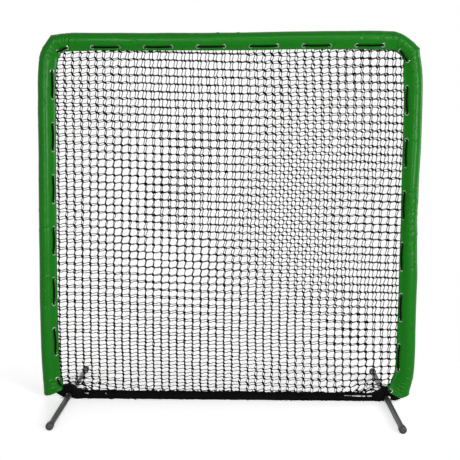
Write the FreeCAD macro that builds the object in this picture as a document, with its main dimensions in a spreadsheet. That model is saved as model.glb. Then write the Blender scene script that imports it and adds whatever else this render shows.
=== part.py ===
"""Padded field screen with a double net, seven feet square.

Millimetres. X runs along the screen, -Y is the front, Z is up, and the origin lies on the
floor under the middle of the net. Four bent tubes make the frame, spliced half way along each
side. Legs slip over stubs that are welded to the bottom bends. Padded vinyl sleeves cover the
uprights and the top rail, and one cord laces their flaps together through both nets.
"""
import FreeCAD, Part
import math
import os
import Sketcher
from FreeCAD import Placement, Rotation, Vector

DRIVING_SIZES = (
    ("frame_width", 2134.0, "between the centrelines of the uprights"),
    ("frame_height", 2100.0, "between the centrelines of the top and bottom rails"),
    ("bend_radius", 127.0, "centreline of each corner bend"),
    ("tube_diameter", 38.1, "frame tube, outside"),
    ("tube_wall", 1.65, "frame tube"),
    ("rail_splice", -8.0, "middle of the rail splices, sideways from the screen's middle"),
    ("upright_splice", 1050.0, "middle of the upright splices, above the bottom rail"),
    ("splice_length", 200.0, "inner sleeve"),
    ("splice_wall", 2.0, "inner sleeve"),
    ("screw_spread", 118.0, "between the two screws of a splice"),
    ("screw_diameter", 5.0, "splice screw"),
    ("screw_across_flats", 9.5, "splice screw's head"),
    ("screw_head_height", 3.5, "splice screw"),
    ("slip_gap", 0.25, "clearance between pieces that slide over each other"),
    ("soft_gap", 0.3, "clearance between a soft piece and its neighbour"),
    ("leg_inset", 120.0, "leg's axis, inward from the upright's centreline"),
    ("leg_reach", 610.0, "middle of the screen to the end of a leg's cap"),
    ("leg_diameter", 31.75, "leg tube, outside"),
    ("leg_wall", 1.65, "leg tube"),
    ("stub_wall", 2.5, "welded stub inside the leg tube"),
    ("stub_length", 150.0, "stub's end, from the middle of the rail"),
    ("leg_bolt_distance", 70.0, "leg bolt, from the middle of the rail"),
    ("leg_bolt_diameter", 8.0, "leg bolt"),
    ("leg_bolt_length", 57.0, "leg bolt, under its head"),
    ("leg_bolt_head_height", 5.3, "leg bolt"),
    ("leg_nut_height", 6.5, "leg bolt's nut"),
    ("hex_across_flats", 13.0, "leg bolt's head and nut"),
    ("cap_diameter", 43.0, "slip-on leg cap, which stands on the floor"),
    ("cap_length", 45.0, "leg cap"),
    ("cap_end", 5.0, "closed end of the leg cap"),
    ("sleeve_diameter", 80.0, "padded sleeve, outside, over the foam"),
    ("sleeve_skin", 1.5, "vinyl of the sleeve"),
    ("flap_gap", 6.6, "between the front and rear flaps, where both nets pass"),
    ("flap_root", 40.5, "start of the flat flap, from the tube's centreline"),
    ("flap_edge", 59.5, "edge of the flat flap, from the tube's centreline"),
    ("eyelet_offset", 48.0, "lacing eyelets, from the tube's centreline"),
    ("eyelet_spacing", 151.3, "between lacing eyelets"),
    ("eyelet_hole", 9.6, "lacing eyelet"),
    ("top_sleeve_left", 146.0, "left end of the top sleeve, from the left upright"),
    ("right_seam_turn", 80.0, "degrees round the top right bend to the top sleeve's end"),
    ("seam_gap", 1.0, "clearance between the ends of two sleeves on a rail"),
    ("seam_turn", 0.6, "degrees between the ends of two sleeves on a bend"),
    ("first_top_eyelet", 280.4, "from the left upright"),
    ("first_left_eyelet", 184.5, "below the top rail"),
    ("first_right_eyelet", 264.9, "below the top rail"),
    ("eyelet_margin", 20.0, "least distance from an eyelet to the end of its straight row"),
    ("left_low_turn", 42.0, "degrees round the top left bend to its lower eyelet"),
    ("left_high_turn", 86.0, "degrees round the top left bend to its upper eyelet"),
    ("right_high_turn", 46.0, "degrees round the top right bend to its upper eyelet"),
    ("right_low_turn", 0.0, "degrees round the top right bend to its lower eyelet"),
    ("right_foot_turn", 50.0, "degrees round the bottom right bend to its last eyelet"),
    ("right_sleeve_turn", 60.0, "degrees round the bottom right bend to the sleeve's end"),
    ("left_flap_end", 70.0, "bottom of the left sleeve's flaps, above the bottom rail"),
    ("left_flap_cut", 33.0, "inner edge of the left sleeve below its flaps, from the tube's centreline"),
    ("left_hem_inner", 14.0, "left sleeve's bottom hem at that inner edge, above the bottom rail"),
    ("left_hem_outer", -2.0, "left sleeve's bottom hem at its outer side, above the bottom rail"),
    ("trim_margin", 5.0, "how far a cutting outline reaches past what it cuts"),
    ("lace_diameter", 7.0, "lacing cord"),
    ("lace_tail", 30.0, "free end of the lacing cord, past its last eyelet"),
    ("net_thickness", 2.0, "one net"),
    ("net_spread", 3.4, "between the middles of the two nets"),
    ("net_cord", 6.0, "cords of the net's coarse grid"),
    ("net_pitch_ratio", 1.5, "pitch of the net's coarse grid, in eyelet spacings"),
    ("net_column_shift", 30.0, "net's upright cords, past the top eyelets"),
    ("net_row_shift", 40.0, "net's level cords, under the left eyelets"),
    ("net_least_gap", 12.0, "smallest side of a gap that the grid keeps open"),
    ("hem_thickness", 1.85, "net hem wrapped on the bottom rail"),
    ("hem_slot", 20.0, "degrees above and below the rail's front where the tube shows"),
    ("hem_top", 94.0, "degrees from the front to where the two hems meet"),
    ("hem_seam", 2.0, "degrees between the two hems"),
    ("net_foot_inset", 209.0, "end of the nets' hemmed edge, inward from the upright's centreline"),
    ("net_step_inset", 152.0, "top of the step at its end, inward from the upright's centreline"),
    ("net_step_level", 71.9, "nets' bottom edge over the corners, above the rail's centreline"),
    ("hem_lace_diameter", 3.5, "cord that closes the hem"),
    ("hem_lace_step", 36.0, "between its turning points along the rail"),
    ("hem_lace_rise", 16.0, "between its upper and lower turning points"),
    ("hem_lace_margin", 10.0, "least distance from its ends to the ends of the hems"),
    ("bundle_depth", 54.0, "gathered net at a bottom corner, front to back"),
    ("bundle_edge", 5.0, "bevel round the gathered net"),
)


class Size:
    """A length that carries both its number and the sheet expression that drives it."""

    def __init__(self, number, text):
        self.number = float(number)
        self.text = text

    def join(self, other, sign, swap=False):
        """Put two sizes, or a size and a plain number, on either side of a sign."""
        if not isinstance(other, Size):
            other = Size(other, f"{other:.12g}" if other >= 0 else f"({other:.12g})")
        left, right = (other, self) if swap else (self, other)
        number = {
            "+": left.number + right.number,
            "-": left.number - right.number,
            "*": left.number * right.number,
            "/": left.number / right.number if right.number else 0.0,
        }[sign]
        return Size(number, f"({left.text} {sign} {right.text})")

    def __add__(self, other):
        return self.join(other, "+")

    def __radd__(self, other):
        return self.join(other, "+", swap=True)

    def __sub__(self, other):
        return self.join(other, "-")

    def __rsub__(self, other):
        return self.join(other, "-", swap=True)

    def __mul__(self, other):
        return self.join(other, "*")

    def __rmul__(self, other):
        return self.join(other, "*", swap=True)

    def __truediv__(self, other):
        return self.join(other, "/")

    def __neg__(self):
        return self.join(-1, "*", swap=True)

    def __float__(self):
        return self.number


def size_of(value):
    """Turn a plain number into a size that no sheet cell drives."""
    return value if isinstance(value, Size) else Size(value, f"{value:.12g}")


def write_sheet(document):
    """Put the driving sizes in a spreadsheet and return them as sizes by name."""
    sheet = document.addObject("Spreadsheet::Sheet", "sizes")
    for row, (name, value, note) in enumerate(DRIVING_SIZES, start=1):
        sheet.set(f"A{row}", name)
        sheet.set(f"B{row}", f"{value:.12g}")
        sheet.set(f"C{row}", note)
        sheet.setAlias(f"B{row}", name)
    document.recompute()
    return {name: Size(value, f"sizes.{name}") for name, value, note in DRIVING_SIZES}


doc = FreeCAD.newDocument("padded_field_screen")
SIZES = write_sheet(doc)
NODES = []


def size(name):
    """One driving size."""
    return SIZES[name]


def bind(thing, prop, value):
    """Drive a property by the sheet."""
    value = size_of(value)
    thing.setExpression(prop, value.text)


# Sizes that follow from the driving ones
TUBE_RADIUS = size("tube_diameter") / 2
BEND = size("bend_radius")
RAIL_LEVEL = size("cap_diameter") / 2
TOP_LEVEL = RAIL_LEVEL + size("frame_height")
HALF_WIDTH = size("frame_width") / 2
BEND_ACROSS = HALF_WIDTH - BEND
TOP_BEND_LEVEL = TOP_LEVEL - BEND
FOOT_BEND_LEVEL = RAIL_LEVEL + BEND
UPRIGHT_RUN = size("frame_height") - 2 * BEND
LEG_ACROSS = HALF_WIDTH - size("leg_inset")
LEG_RADIUS = size("leg_diameter") / 2
STUB_RADIUS = LEG_RADIUS - size("leg_wall") - size("slip_gap")
SPLICE_RADIUS = TUBE_RADIUS - size("tube_wall") - size("slip_gap")
SLEEVE_RADIUS = size("sleeve_diameter") / 2
FOAM_RADIUS = SLEEVE_RADIUS - size("sleeve_skin") - size("soft_gap")
FOAM_BORE = TUBE_RADIUS + size("soft_gap")
FLAP_INNER = size("flap_gap") / 2
FLAP_OUTER = FLAP_INNER + size("sleeve_skin")
HEM_RADIUS = FOAM_BORE + size("hem_thickness")
EYELET_BEND = BEND - size("eyelet_offset")
HEM_LACE_RADIUS = size("hem_lace_diameter") / 2
NET_FOOT_HALF = HALF_WIDTH - size("net_foot_inset")
SCREW_HOLE = size("screw_diameter") + 2 * size("slip_gap")
SCREW_POCKET = size("screw_across_flats") + 2 * size("soft_gap")
BOLT_HOLE = size("leg_bolt_diameter") + 2 * size("slip_gap")


def cosine(angle):
    """Cosine of an angle in degrees."""
    return Size(math.cos(math.radians(float(angle))), f"cos({size_of(angle).text})")


def sine(angle):
    """Sine of an angle in degrees."""
    return Size(math.sin(math.radians(float(angle))), f"sin({size_of(angle).text})")


def sketch_on(body, name, role, offset=None):
    """Start a sketch on one of the body's own origin planes, moved along its normal."""
    plane = next(item for item in body.Origin.OriginFeatures if item.Role == role)
    sketch = body.newObject("Sketcher::SketchObject", name)
    sketch.AttachmentSupport = [(plane, "")]
    sketch.MapMode = "FlatFace"
    if offset is not None:
        bind(sketch, "AttachmentOffset.Base.z", offset)
    return sketch


def hold(sketch, *constraint, value=None):
    """Add one constraint and drive it by the sheet if it has a size."""
    if value is None:
        sketch.addConstraint(Sketcher.Constraint(*constraint))
        return
    value = size_of(value)
    number = sketch.addConstraint(Sketcher.Constraint(*constraint, value.number))
    sketch.setExpression(f"Constraints[{number}]", value.text)


def draw_circle(sketch, across, up, radius):
    """A circle held by its centre and radius."""
    across, up, radius = size_of(across), size_of(up), size_of(radius)
    centre = Vector(across.number, up.number, 0)
    item = sketch.addGeometry(Part.Circle(centre, Vector(0, 0, 1), radius.number), False)
    hold(sketch, "Radius", item, value=radius)
    hold(sketch, "DistanceX", item, 3, value=across)
    hold(sketch, "DistanceY", item, 3, value=up)


def draw_outline(sketch, corners):
    """A closed outline of straight sides, each corner held by its two distances."""
    places = [(size_of(across), size_of(up)) for across, up in corners]
    points = [Vector(across.number, up.number, 0) for across, up in places]
    first = sketch.GeometryCount
    count = len(points)
    for index, point in enumerate(points):
        sketch.addGeometry(Part.LineSegment(point, points[(index + 1) % count]), False)
    for index, (across, up) in enumerate(places):
        hold(sketch, "Coincident", first + (index - 1) % count, 2, first + index, 1)
        hold(sketch, "DistanceX", first + index, 1, value=across)
        hold(sketch, "DistanceY", first + index, 1, value=up)


def draw_hexagon(sketch, across, up, flats):
    """A small six-sided hole, which keeps its wall's facets few. Two of its sides are level."""
    half = size_of(flats) / 2
    side = half / math.sqrt(0.75)
    across, up = size_of(across), size_of(up)
    draw_outline(sketch, (
        (across + side, up), (across + side / 2, up + half), (across - side / 2, up + half),
        (across - side, up), (across - side / 2, up - half), (across + side / 2, up - half),
    ))


def pad(body, name, sketch, length, both_ways=False, backwards=False):
    """Extrude a sketch."""
    feature = body.newObject("PartDesign::Pad", name)
    feature.Profile = sketch
    bind(feature, "Length", length)
    feature.SideType = "Symmetric" if both_ways else "One side"
    feature.Reversed = backwards
    return feature


def cut_through(body, name, sketch):
    """Cut a sketch through the whole body, both ways."""
    feature = body.newObject("PartDesign::Pocket", name)
    feature.Profile = sketch
    feature.Type = "ThroughAll"
    feature.SideType = "Symmetric"
    return feature


def cut_depth(body, name, sketch, depth, both_ways=False, backwards=False):
    """Cut a sketch to a depth against its normal, or both ways about its plane."""
    feature = body.newObject("PartDesign::Pocket", name)
    feature.Profile = sketch
    bind(feature, "Length", depth)
    feature.SideType = "Symmetric" if both_ways else "One side"
    feature.Reversed = backwards
    return feature


def place(body, across, level, turn=None):
    """Stand a body at a place in the screen's own mid-plane, after turning it."""
    if turn is not None:
        body.Placement = Placement(Vector(0, 0, 0), turn)
    bind(body, "Placement.Base.x", across)
    bind(body, "Placement.Base.z", level)


def new_body(name):
    """A body whose label names its file."""
    body = doc.addObject("PartDesign::Body", name)
    body.Label = name
    NODES.append(body)
    return body


BEND_TURNS = 6  # short turns of a frame tube's bend, outside its centreline's arc

HALF_TURN_Z = Rotation(Vector(0, 0, 1), 180)
HALF_TURN_X = Rotation(Vector(1, 0, 0), 180)
HALF_TURN_Y = Rotation(Vector(0, 1, 0), 180)
QUARTER_TURN_Y = Rotation(Vector(0, 1, 0), 90)
HEAD_TO_REAR = Rotation(Vector(1, 0, 0), -90)
RAIL_FROM_REAR = QUARTER_TURN_Y.multiply(Rotation(Vector(0, 0, 1), -90))


def draw_bent_line(sketch, upright, rail):
    """An upright line, a quarter bend about the sketch's origin in short turns, a level line."""
    turn = 90 / BEND_TURNS
    reach = BEND / cosine(turn / 2)
    corners = [(-BEND, -size_of(upright))]
    for step in range(BEND_TURNS):
        angle = (step + 0.5) * turn
        corners.append((-reach * cosine(angle), reach * sine(angle)))
    corners.append((size_of(rail), BEND))
    points = [Vector(float(across), float(up), 0) for across, up in corners]
    for start, end in zip(points, points[1:]):
        sketch.addGeometry(Part.LineSegment(start, end), False)
    last = len(points) - 2
    for line in range(last):
        hold(sketch, "Coincident", line, 2, line + 1, 1)
    for index, (across, up) in enumerate(corners):
        line, end = (index, 1) if index <= last else (last, 2)
        hold(sketch, "DistanceX", line, end, value=across)
        hold(sketch, "DistanceY", line, end, value=up)


def pipe(body, name, kind, profile, spine):
    """Sweep a profile along all the edges of a spine sketch, mitred at its corners."""
    feature = body.newObject(f"PartDesign::{kind}", name)
    feature.Profile = profile
    feature.Spine = (spine, [f"Edge{number}" for number in range(1, BEND_TURNS + 2)])
    feature.Transition = "Right corner"
    return feature


def frame_quarter(name, upright, rail, across, level, turn=None, rear_screw=None):
    """One bent quarter of the frame, drawn about the centre of its bend.

    The upright hangs down at -X and the rail runs towards +X, so that turning the finished
    body makes the other three quarters. The bottom quarters carry the leg stubs, and their
    rail screws go in from behind, which rear_screw names as +Y or -Y before the turn.
    """
    body = new_body(name)
    spine = sketch_on(body, f"{name}_line", "XZ_Plane")
    draw_bent_line(spine, upright, rail)
    outside = sketch_on(body, f"{name}_outside", "XY_Plane", -size_of(upright))
    draw_circle(outside, -BEND, 0, TUBE_RADIUS)
    inside = sketch_on(body, f"{name}_inside", "XY_Plane", -size_of(upright))
    draw_circle(inside, -BEND, 0, TUBE_RADIUS - size("tube_wall"))
    pipe(body, f"{name}_tube", "AdditivePipe", outside, spine)
    stub_across = size("leg_inset") - BEND
    with_stubs = rear_screw is not None
    if with_stubs:
        stub = sketch_on(body, f"{name}_stub", "XZ_Plane")
        draw_circle(stub, stub_across, BEND, STUB_RADIUS)
        pad(body, f"{name}_stubs", stub, 2 * size("stub_length"), both_ways=True)
    pipe(body, f"{name}_bore", "SubtractivePipe", inside, spine)
    if with_stubs:
        bore_stubs(body, name, stub_across)
    if rear_screw is None:
        holes = sketch_on(body, f"{name}_rail_screw", "XY_Plane", BEND)
        draw_hexagon(holes, size_of(rail) - size("screw_spread") / 2, 0, SCREW_HOLE)
        cut_depth(body, f"{name}_rail_screw_hole", holes, 2 * TUBE_RADIUS, backwards=True)
    else:
        holes = sketch_on(body, f"{name}_rail_screw", "XZ_Plane")
        draw_hexagon(holes, size_of(rail) - size("screw_spread") / 2, BEND, SCREW_HOLE)
        cut_depth(body, f"{name}_rail_screw_hole", holes, 2 * TUBE_RADIUS,
                  backwards=rear_screw < 0)
    holes = sketch_on(body, f"{name}_upright_screw", "YZ_Plane", -BEND)
    draw_hexagon(holes, 0, size("screw_spread") / 2 - size_of(upright), SCREW_HOLE)
    cut_depth(body, f"{name}_upright_screw_hole", holes, 2 * TUBE_RADIUS)
    place(body, across, level, turn)
    return body


def bore_stubs(body, name, across):
    """Hollow both stubs from their ends and cross-drill them for the leg bolts."""
    depth = size("stub_length") - TUBE_RADIUS - size("stub_wall")
    for side, backwards in ((1, False), (-1, True)):
        bore = sketch_on(body, f"{name}_stub_bore_{'front' if side > 0 else 'rear'}", "XZ_Plane",
                         side * size("stub_length"))
        draw_circle(bore, across, BEND, STUB_RADIUS - size("stub_wall"))
        cut_depth(body, f"{name}_stub_hollow_{'front' if side > 0 else 'rear'}", bore, depth,
                  backwards=backwards)
    cross = sketch_on(body, f"{name}_leg_bolt", "YZ_Plane", across)
    for side in (1, -1):
        draw_hexagon(cross, side * size("leg_bolt_distance"), BEND, BOLT_HOLE)
    cut_depth(body, f"{name}_leg_bolt_hole", cross, 4 * STUB_RADIUS, both_ways=True)


def make_frame():
    """Four quarters, each from one splice round its bend to the next."""
    upper = TOP_BEND_LEVEL - RAIL_LEVEL - size("upright_splice")
    lower = size("upright_splice") - BEND
    left = BEND_ACROSS + size("rail_splice")
    right = BEND_ACROSS - size("rail_splice")
    frame_quarter("frame_top_left", upper, left, -BEND_ACROSS, TOP_BEND_LEVEL)
    frame_quarter("frame_top_right", upper, right, BEND_ACROSS, TOP_BEND_LEVEL, HALF_TURN_Z)
    frame_quarter("frame_bottom_left", lower, left, -BEND_ACROSS, FOOT_BEND_LEVEL, HALF_TURN_X,
                  rear_screw=-1)
    frame_quarter("frame_bottom_right", lower, right, BEND_ACROSS, FOOT_BEND_LEVEL, HALF_TURN_Y,
                  rear_screw=1)


def splice(name, across, level, turn=None):
    """The sleeve inside two tube ends, drawn upright with its screw holes towards -X."""
    body = new_body(name)
    ring = sketch_on(body, f"{name}_ring", "XY_Plane")
    draw_circle(ring, 0, 0, SPLICE_RADIUS)
    draw_circle(ring, 0, 0, SPLICE_RADIUS - size("splice_wall"))
    pad(body, f"{name}_tube", ring, size("splice_length"), both_ways=True)
    holes = sketch_on(body, f"{name}_screws", "YZ_Plane")
    for side in (1, -1):
        draw_hexagon(holes, 0, side * size("screw_spread") / 2, SCREW_HOLE)
    cut_depth(body, f"{name}_screw_holes", holes, 2 * SPLICE_RADIUS)
    place(body, across, level, turn)


def make_splices():
    """One sleeve half way along each side. The bottom one is screwed from behind."""
    splice("splice_left", -HALF_WIDTH, RAIL_LEVEL + size("upright_splice"))
    splice("splice_right", HALF_WIDTH, RAIL_LEVEL + size("upright_splice"), HALF_TURN_Z)
    splice("splice_top", size("rail_splice"), TOP_LEVEL, QUARTER_TURN_Y)
    splice("splice_bottom", size("rail_splice"), RAIL_LEVEL, RAIL_FROM_REAR)


def hexagon(flats, low, high):
    """A hexagonal prism about the Z axis, between two levels."""
    radius = float(flats) / math.sqrt(3)
    corners = [Vector(radius * math.cos(turn * math.pi / 3), radius * math.sin(turn * math.pi / 3),
                      float(low)) for turn in range(7)]
    return Part.Face(Part.makePolygon(corners)).extrude(Vector(0, 0, float(high) - float(low)))


def splice_screw():
    """One hexagon-head screw at the origin, driven down through tube and sleeve."""
    head = hexagon(size("screw_across_flats"), TUBE_RADIUS, TUBE_RADIUS + size("screw_head_height"))
    shank = hexagon(size("screw_diameter"), SPLICE_RADIUS - size("splice_wall"), TUBE_RADIUS)
    return head.fuse(shank).removeSplitter()


def group(name, solids):
    """A node that holds alike pieces as separate solids."""
    feature = doc.addObject("Part::Feature", name)
    feature.Label = name
    feature.Shape = solids[0] if len(solids) == 1 else Part.makeCompound(solids)
    NODES.append(feature)
    return feature


def make_splice_screws():
    """Two screws in each splice, from the outside or, at the bottom, from behind."""
    spread = float(size("screw_spread")) / 2
    side = float(HALF_WIDTH)
    rail = float(size("rail_splice"))
    upright = float(RAIL_LEVEL + size("upright_splice"))
    solids = []
    for way in (1, -1):
        for place_at, turn in (
            (Vector(rail + way * spread, 0, float(TOP_LEVEL)), Rotation()),
            (Vector(rail + way * spread, 0, float(RAIL_LEVEL)), HEAD_TO_REAR),
            (Vector(-side, 0, upright + way * spread), QUARTER_TURN_Y.inverted()),
            (Vector(side, 0, upright + way * spread), QUARTER_TURN_Y),
        ):
            screw = splice_screw()
            screw.Placement = Placement(place_at, turn)
            solids.append(screw)
    return group("splice_screws", solids)


def leg(name, across, rear):
    """A leg tube, coped to the rail at its inner end and drilled for its bolt."""
    body = new_body(name)
    ring = sketch_on(body, f"{name}_ring", "XZ_Plane")
    draw_circle(ring, 0, 0, LEG_RADIUS)
    draw_circle(ring, 0, 0, LEG_RADIUS - size("leg_wall"))
    pad(body, f"{name}_tube", ring, size("leg_reach") - size("cap_end") - size("slip_gap"))
    cope = sketch_on(body, f"{name}_cope", "YZ_Plane")
    draw_circle(cope, 0, 0, FOAM_BORE)
    cut_through(body, f"{name}_cope_cut", cope)
    bolt = sketch_on(body, f"{name}_bolt", "YZ_Plane")
    draw_hexagon(bolt, -size("leg_bolt_distance"), 0, BOLT_HOLE)
    cut_through(body, f"{name}_bolt_hole", bolt)
    place(body, across, RAIL_LEVEL, HALF_TURN_Z if rear else None)


def leg_cap():
    """A moulded cap that slips over the end of a front leg, about the leg's axis."""
    outer = float(size("cap_diameter")) / 2
    inner = float(LEG_RADIUS + size("slip_gap"))
    closed = -float(size("leg_reach"))
    floor = closed + float(size("cap_end"))
    mouth = closed + float(size("cap_length"))
    corners = ((closed, 0), (closed, outer), (mouth, outer), (mouth, inner), (floor, inner),
               (floor, 0), (closed, 0))
    profile = Part.makePolygon([Vector(0, along, out) for along, out in corners])
    return Part.Face(profile).revolve(Vector(0, 0, 0), Vector(0, 1, 0), 360)


def make_legs():
    """Front and rear legs on both sides, and the caps that they stand on."""
    for side, across in (("left", -LEG_ACROSS), ("right", LEG_ACROSS)):
        for end, rear in (("front", False), ("rear", True)):
            leg(f"leg_{end}_{side}", across, rear)
            cap = leg_cap()
            cap.Placement = Placement(Vector(float(across), 0, float(RAIL_LEVEL)),
                                      HALF_TURN_Z if rear else Rotation())
            group(f"cap_{end}_{side}", [cap])


def make_leg_bolts():
    """A hexagon bolt through each leg, its head towards the screen's middle, and its nut."""
    flats = size("hex_across_flats")
    shank = float(size("leg_bolt_diameter")) / 2
    length = float(size("leg_bolt_length"))
    seat = float(LEG_RADIUS)
    bolts, nuts = [], []
    for side in (-1, 1):
        outward = QUARTER_TURN_Y if side < 0 else QUARTER_TURN_Y.inverted()
        for end in (-1, 1):
            centre = Vector(side * float(LEG_ACROSS), end * float(size("leg_bolt_distance")),
                            float(RAIL_LEVEL))
            head = hexagon(flats, seat, seat + float(size("leg_bolt_head_height")))
            bolt = head.fuse(Part.makeCylinder(shank, length, Vector(0, 0, seat - length)))
            nut = hexagon(flats, -seat - float(size("leg_nut_height")), -seat).cut(
                hexagon(BOLT_HOLE, -seat - float(size("leg_nut_height")), -seat))
            for solid, solids in ((bolt.removeSplitter(), bolts), (nut, nuts)):
                solid.Placement = Placement(centre, outward)
                solids.append(solid)
    group("leg_bolts", bolts)
    group("leg_nuts", nuts)


def draw_foam(sketch):
    """Foam wrapped round the tube, open in a slit on the net's side."""
    outer, inner, slit = float(FOAM_RADIUS), float(FOAM_BORE), float(FLAP_INNER)
    centre = Vector(-float(BEND), 0, 0)
    outer_turn, inner_turn = math.asin(slit / outer), math.asin(slit / inner)
    full = 2 * math.pi
    up = Vector(0, 0, 1)
    ends = [centre + Vector(radius * math.cos(turn), way * slit, 0)
            for radius, turn in ((outer, outer_turn), (inner, inner_turn)) for way in (1, -1)]
    sketch.addGeometry(Part.ArcOfCircle(Part.Circle(centre, up, outer), outer_turn,
                                        full - outer_turn), False)
    sketch.addGeometry(Part.ArcOfCircle(Part.Circle(centre, up, inner), inner_turn,
                                        full - inner_turn), False)
    sketch.addGeometry(Part.LineSegment(ends[0], ends[2]), False)
    sketch.addGeometry(Part.LineSegment(ends[1], ends[3]), False)
    hold(sketch, "Coincident", 0, 3, 1, 3)
    hold(sketch, "PointOnObject", 0, 3, -1)
    hold(sketch, "DistanceX", 0, 3, value=-BEND)
    hold(sketch, "Radius", 0, value=FOAM_RADIUS)
    hold(sketch, "Radius", 1, value=FOAM_BORE)
    for arc_end, line in ((1, 2), (2, 3)):
        hold(sketch, "Coincident", 0, arc_end, line, 1)
        hold(sketch, "Coincident", 1, arc_end, line, 2)
        hold(sketch, "Horizontal", line)
    hold(sketch, "DistanceY", 2, 1, value=FLAP_INNER)
    hold(sketch, "DistanceY", 3, 1, value=-FLAP_INNER)


def tangent_turn(radius, across, up):
    """Angle of the point where a line from (across, up) touches the circle, on the upper side."""
    return math.atan2(up, across) + math.acos(radius / math.hypot(across, up))


def draw_skin(sketch):
    """The vinyl round the foam, drawn tight to the flat flaps that are laced together."""
    centre_across = -BEND
    outer, inner = SLEEVE_RADIUS, SLEEVE_RADIUS - size("sleeve_skin")
    root = size("flap_root")
    inner_root = root - size("sleeve_skin")
    edge = size("flap_edge")
    outer_turn = tangent_turn(outer.number, root.number, FLAP_OUTER.number)
    inner_turn = tangent_turn(inner.number, inner_root.number, FLAP_INNER.number)
    centre = Vector(centre_across.number, 0, 0)

    def at(across, up):
        return centre + Vector(float(across), float(up), 0)

    def on_circle(radius, turn):
        return at(radius.number * math.cos(turn), radius.number * math.sin(turn))

    normal = Vector(0, 0, 1)
    full = 2 * math.pi
    sketch.addGeometry(Part.ArcOfCircle(Part.Circle(centre, normal, outer.number), outer_turn,
                                        full - outer_turn), False)
    sketch.addGeometry(Part.ArcOfCircle(Part.Circle(centre, normal, inner.number), inner_turn,
                                        full - inner_turn), False)
    hold(sketch, "Coincident", 0, 3, 1, 3)
    hold(sketch, "PointOnObject", 0, 3, -1)
    hold(sketch, "DistanceX", 0, 3, value=centre_across)
    hold(sketch, "Radius", 0, value=outer)
    hold(sketch, "Radius", 1, value=inner)
    for way, arc_end in ((1, 1), (-1, 2)):
        first = sketch.GeometryCount
        corners = [
            on_circle(outer, way * outer_turn), at(root, way * FLAP_OUTER.number),
            at(edge, way * FLAP_OUTER.number), at(edge, way * FLAP_INNER.number),
            at(inner_root, way * FLAP_INNER.number), on_circle(inner, way * inner_turn),
        ]
        for start, end in zip(corners, corners[1:]):
            sketch.addGeometry(Part.LineSegment(start, end), False)
        slope, flap, lip, lining, inner_slope = range(first, first + 5)
        for one, other in ((slope, flap), (flap, lip), (lip, lining), (lining, inner_slope)):
            hold(sketch, "Coincident", one, 2, other, 1)
        hold(sketch, "Tangent", 0, arc_end, slope, 1)
        hold(sketch, "Tangent", 1, arc_end, inner_slope, 2)
        hold(sketch, "Horizontal", flap)
        hold(sketch, "Horizontal", lining)
        hold(sketch, "Vertical", lip)
        hold(sketch, "DistanceX", flap, 1, value=centre_across + root)
        hold(sketch, "DistanceX", flap, 2, value=centre_across + edge)
        hold(sketch, "DistanceX", lining, 2, value=centre_across + inner_root)
        hold(sketch, "DistanceY", flap, 2, value=way * FLAP_OUTER)
        hold(sketch, "DistanceY", lining, 1, value=way * FLAP_INNER)


def bend_profile(body, name, sketch, angle, backwards=False):
    """Turn a profile about the centre of its bend."""
    feature = body.newObject("PartDesign::Revolution", name)
    feature.Profile = sketch
    feature.ReferenceAxis = (sketch, ["V_Axis"])
    bind(feature, "Angle", angle)
    feature.Reversed = backwards
    return feature


def sleeve(name, draw, side, upright=None, bend=None, rail=None, back_bend=None, foot_bend=None):
    """A sleeve on the tube, drawn like the frame's quarters about the centre of a top bend.

    It can have a run down the upright with a bend above and a bend below it, and a run along
    the rail with a bend that goes back down towards the upright.
    """
    body = new_body(name)
    if upright is not None:
        section = sketch_on(body, f"{name}_section", "XY_Plane")
        draw(section)
        pad(body, f"{name}_straight", section, upright, backwards=True)
        if bend is not None:
            bend_profile(body, f"{name}_bend", section, bend)
    if rail is not None:
        section = sketch_on(body, f"{name}_rail_section", "YZ_Plane")
        draw(section)
        section.AttachmentOffset = Placement(Vector(0, 0, 0), Rotation(Vector(0, 0, 1), -90))
        pad(body, f"{name}_along_rail", section, rail)
        if back_bend is not None:
            bend_profile(body, f"{name}_back_bend", section, back_bend, backwards=True)
    if foot_bend is not None:
        section = sketch_on(body, f"{name}_foot_section", "XY_Plane", -UPRIGHT_RUN)
        draw(section)
        bend_profile(body, f"{name}_foot_bend", section, foot_bend, backwards=True)
    place(body, side * BEND_ACROSS, TOP_BEND_LEVEL, HALF_TURN_Z if side > 0 else None)
    return body


LEFT_REACH = size("top_sleeve_left") - BEND
TOP_RUN = 2 * BEND_ACROSS - LEFT_REACH - size("seam_gap")
TOP_BACK_BEND = 90 - size("seam_turn") - size("right_seam_turn")


def pocket_screw_heads(body, name, role, places):
    """Hollow the foam over the splice screws' heads, on its outer side."""
    outward = role == "XY_Plane"
    heads = sketch_on(body, f"{name}_heads", role, BEND if outward else -BEND)
    for across, up in places:
        draw_hexagon(heads, across, up, SCREW_POCKET)
    depth = TUBE_RADIUS + size("screw_head_height") + 2 * size("soft_gap")
    cut_depth(body, f"{name}_head_pockets", heads, depth, backwards=outward)


def make_foam():
    """Foam round the straight part of both uprights and of the top rail."""
    middle = size("upright_splice") + RAIL_LEVEL - TOP_BEND_LEVEL
    beside = [(0, middle + way * size("screw_spread") / 2) for way in (1, -1)]
    for name, side in (("foam_left", -1), ("foam_right", 1)):
        body = sleeve(name, draw_foam, side, UPRIGHT_RUN)
        pocket_screw_heads(body, name, "YZ_Plane", beside)
    top = sleeve("foam_top", draw_foam, 1, rail=2 * BEND_ACROSS)
    above = [(BEND_ACROSS - size("rail_splice") + way * size("screw_spread") / 2, 0)
             for way in (1, -1)]
    pocket_screw_heads(top, "foam_top", "XY_Plane", above)


def on_bend(angle, sign=1):
    """An eyelet on a bend, so many degrees from the upright."""
    return -EYELET_BEND * cosine(angle), sign * EYELET_BEND * sine(angle)


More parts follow.
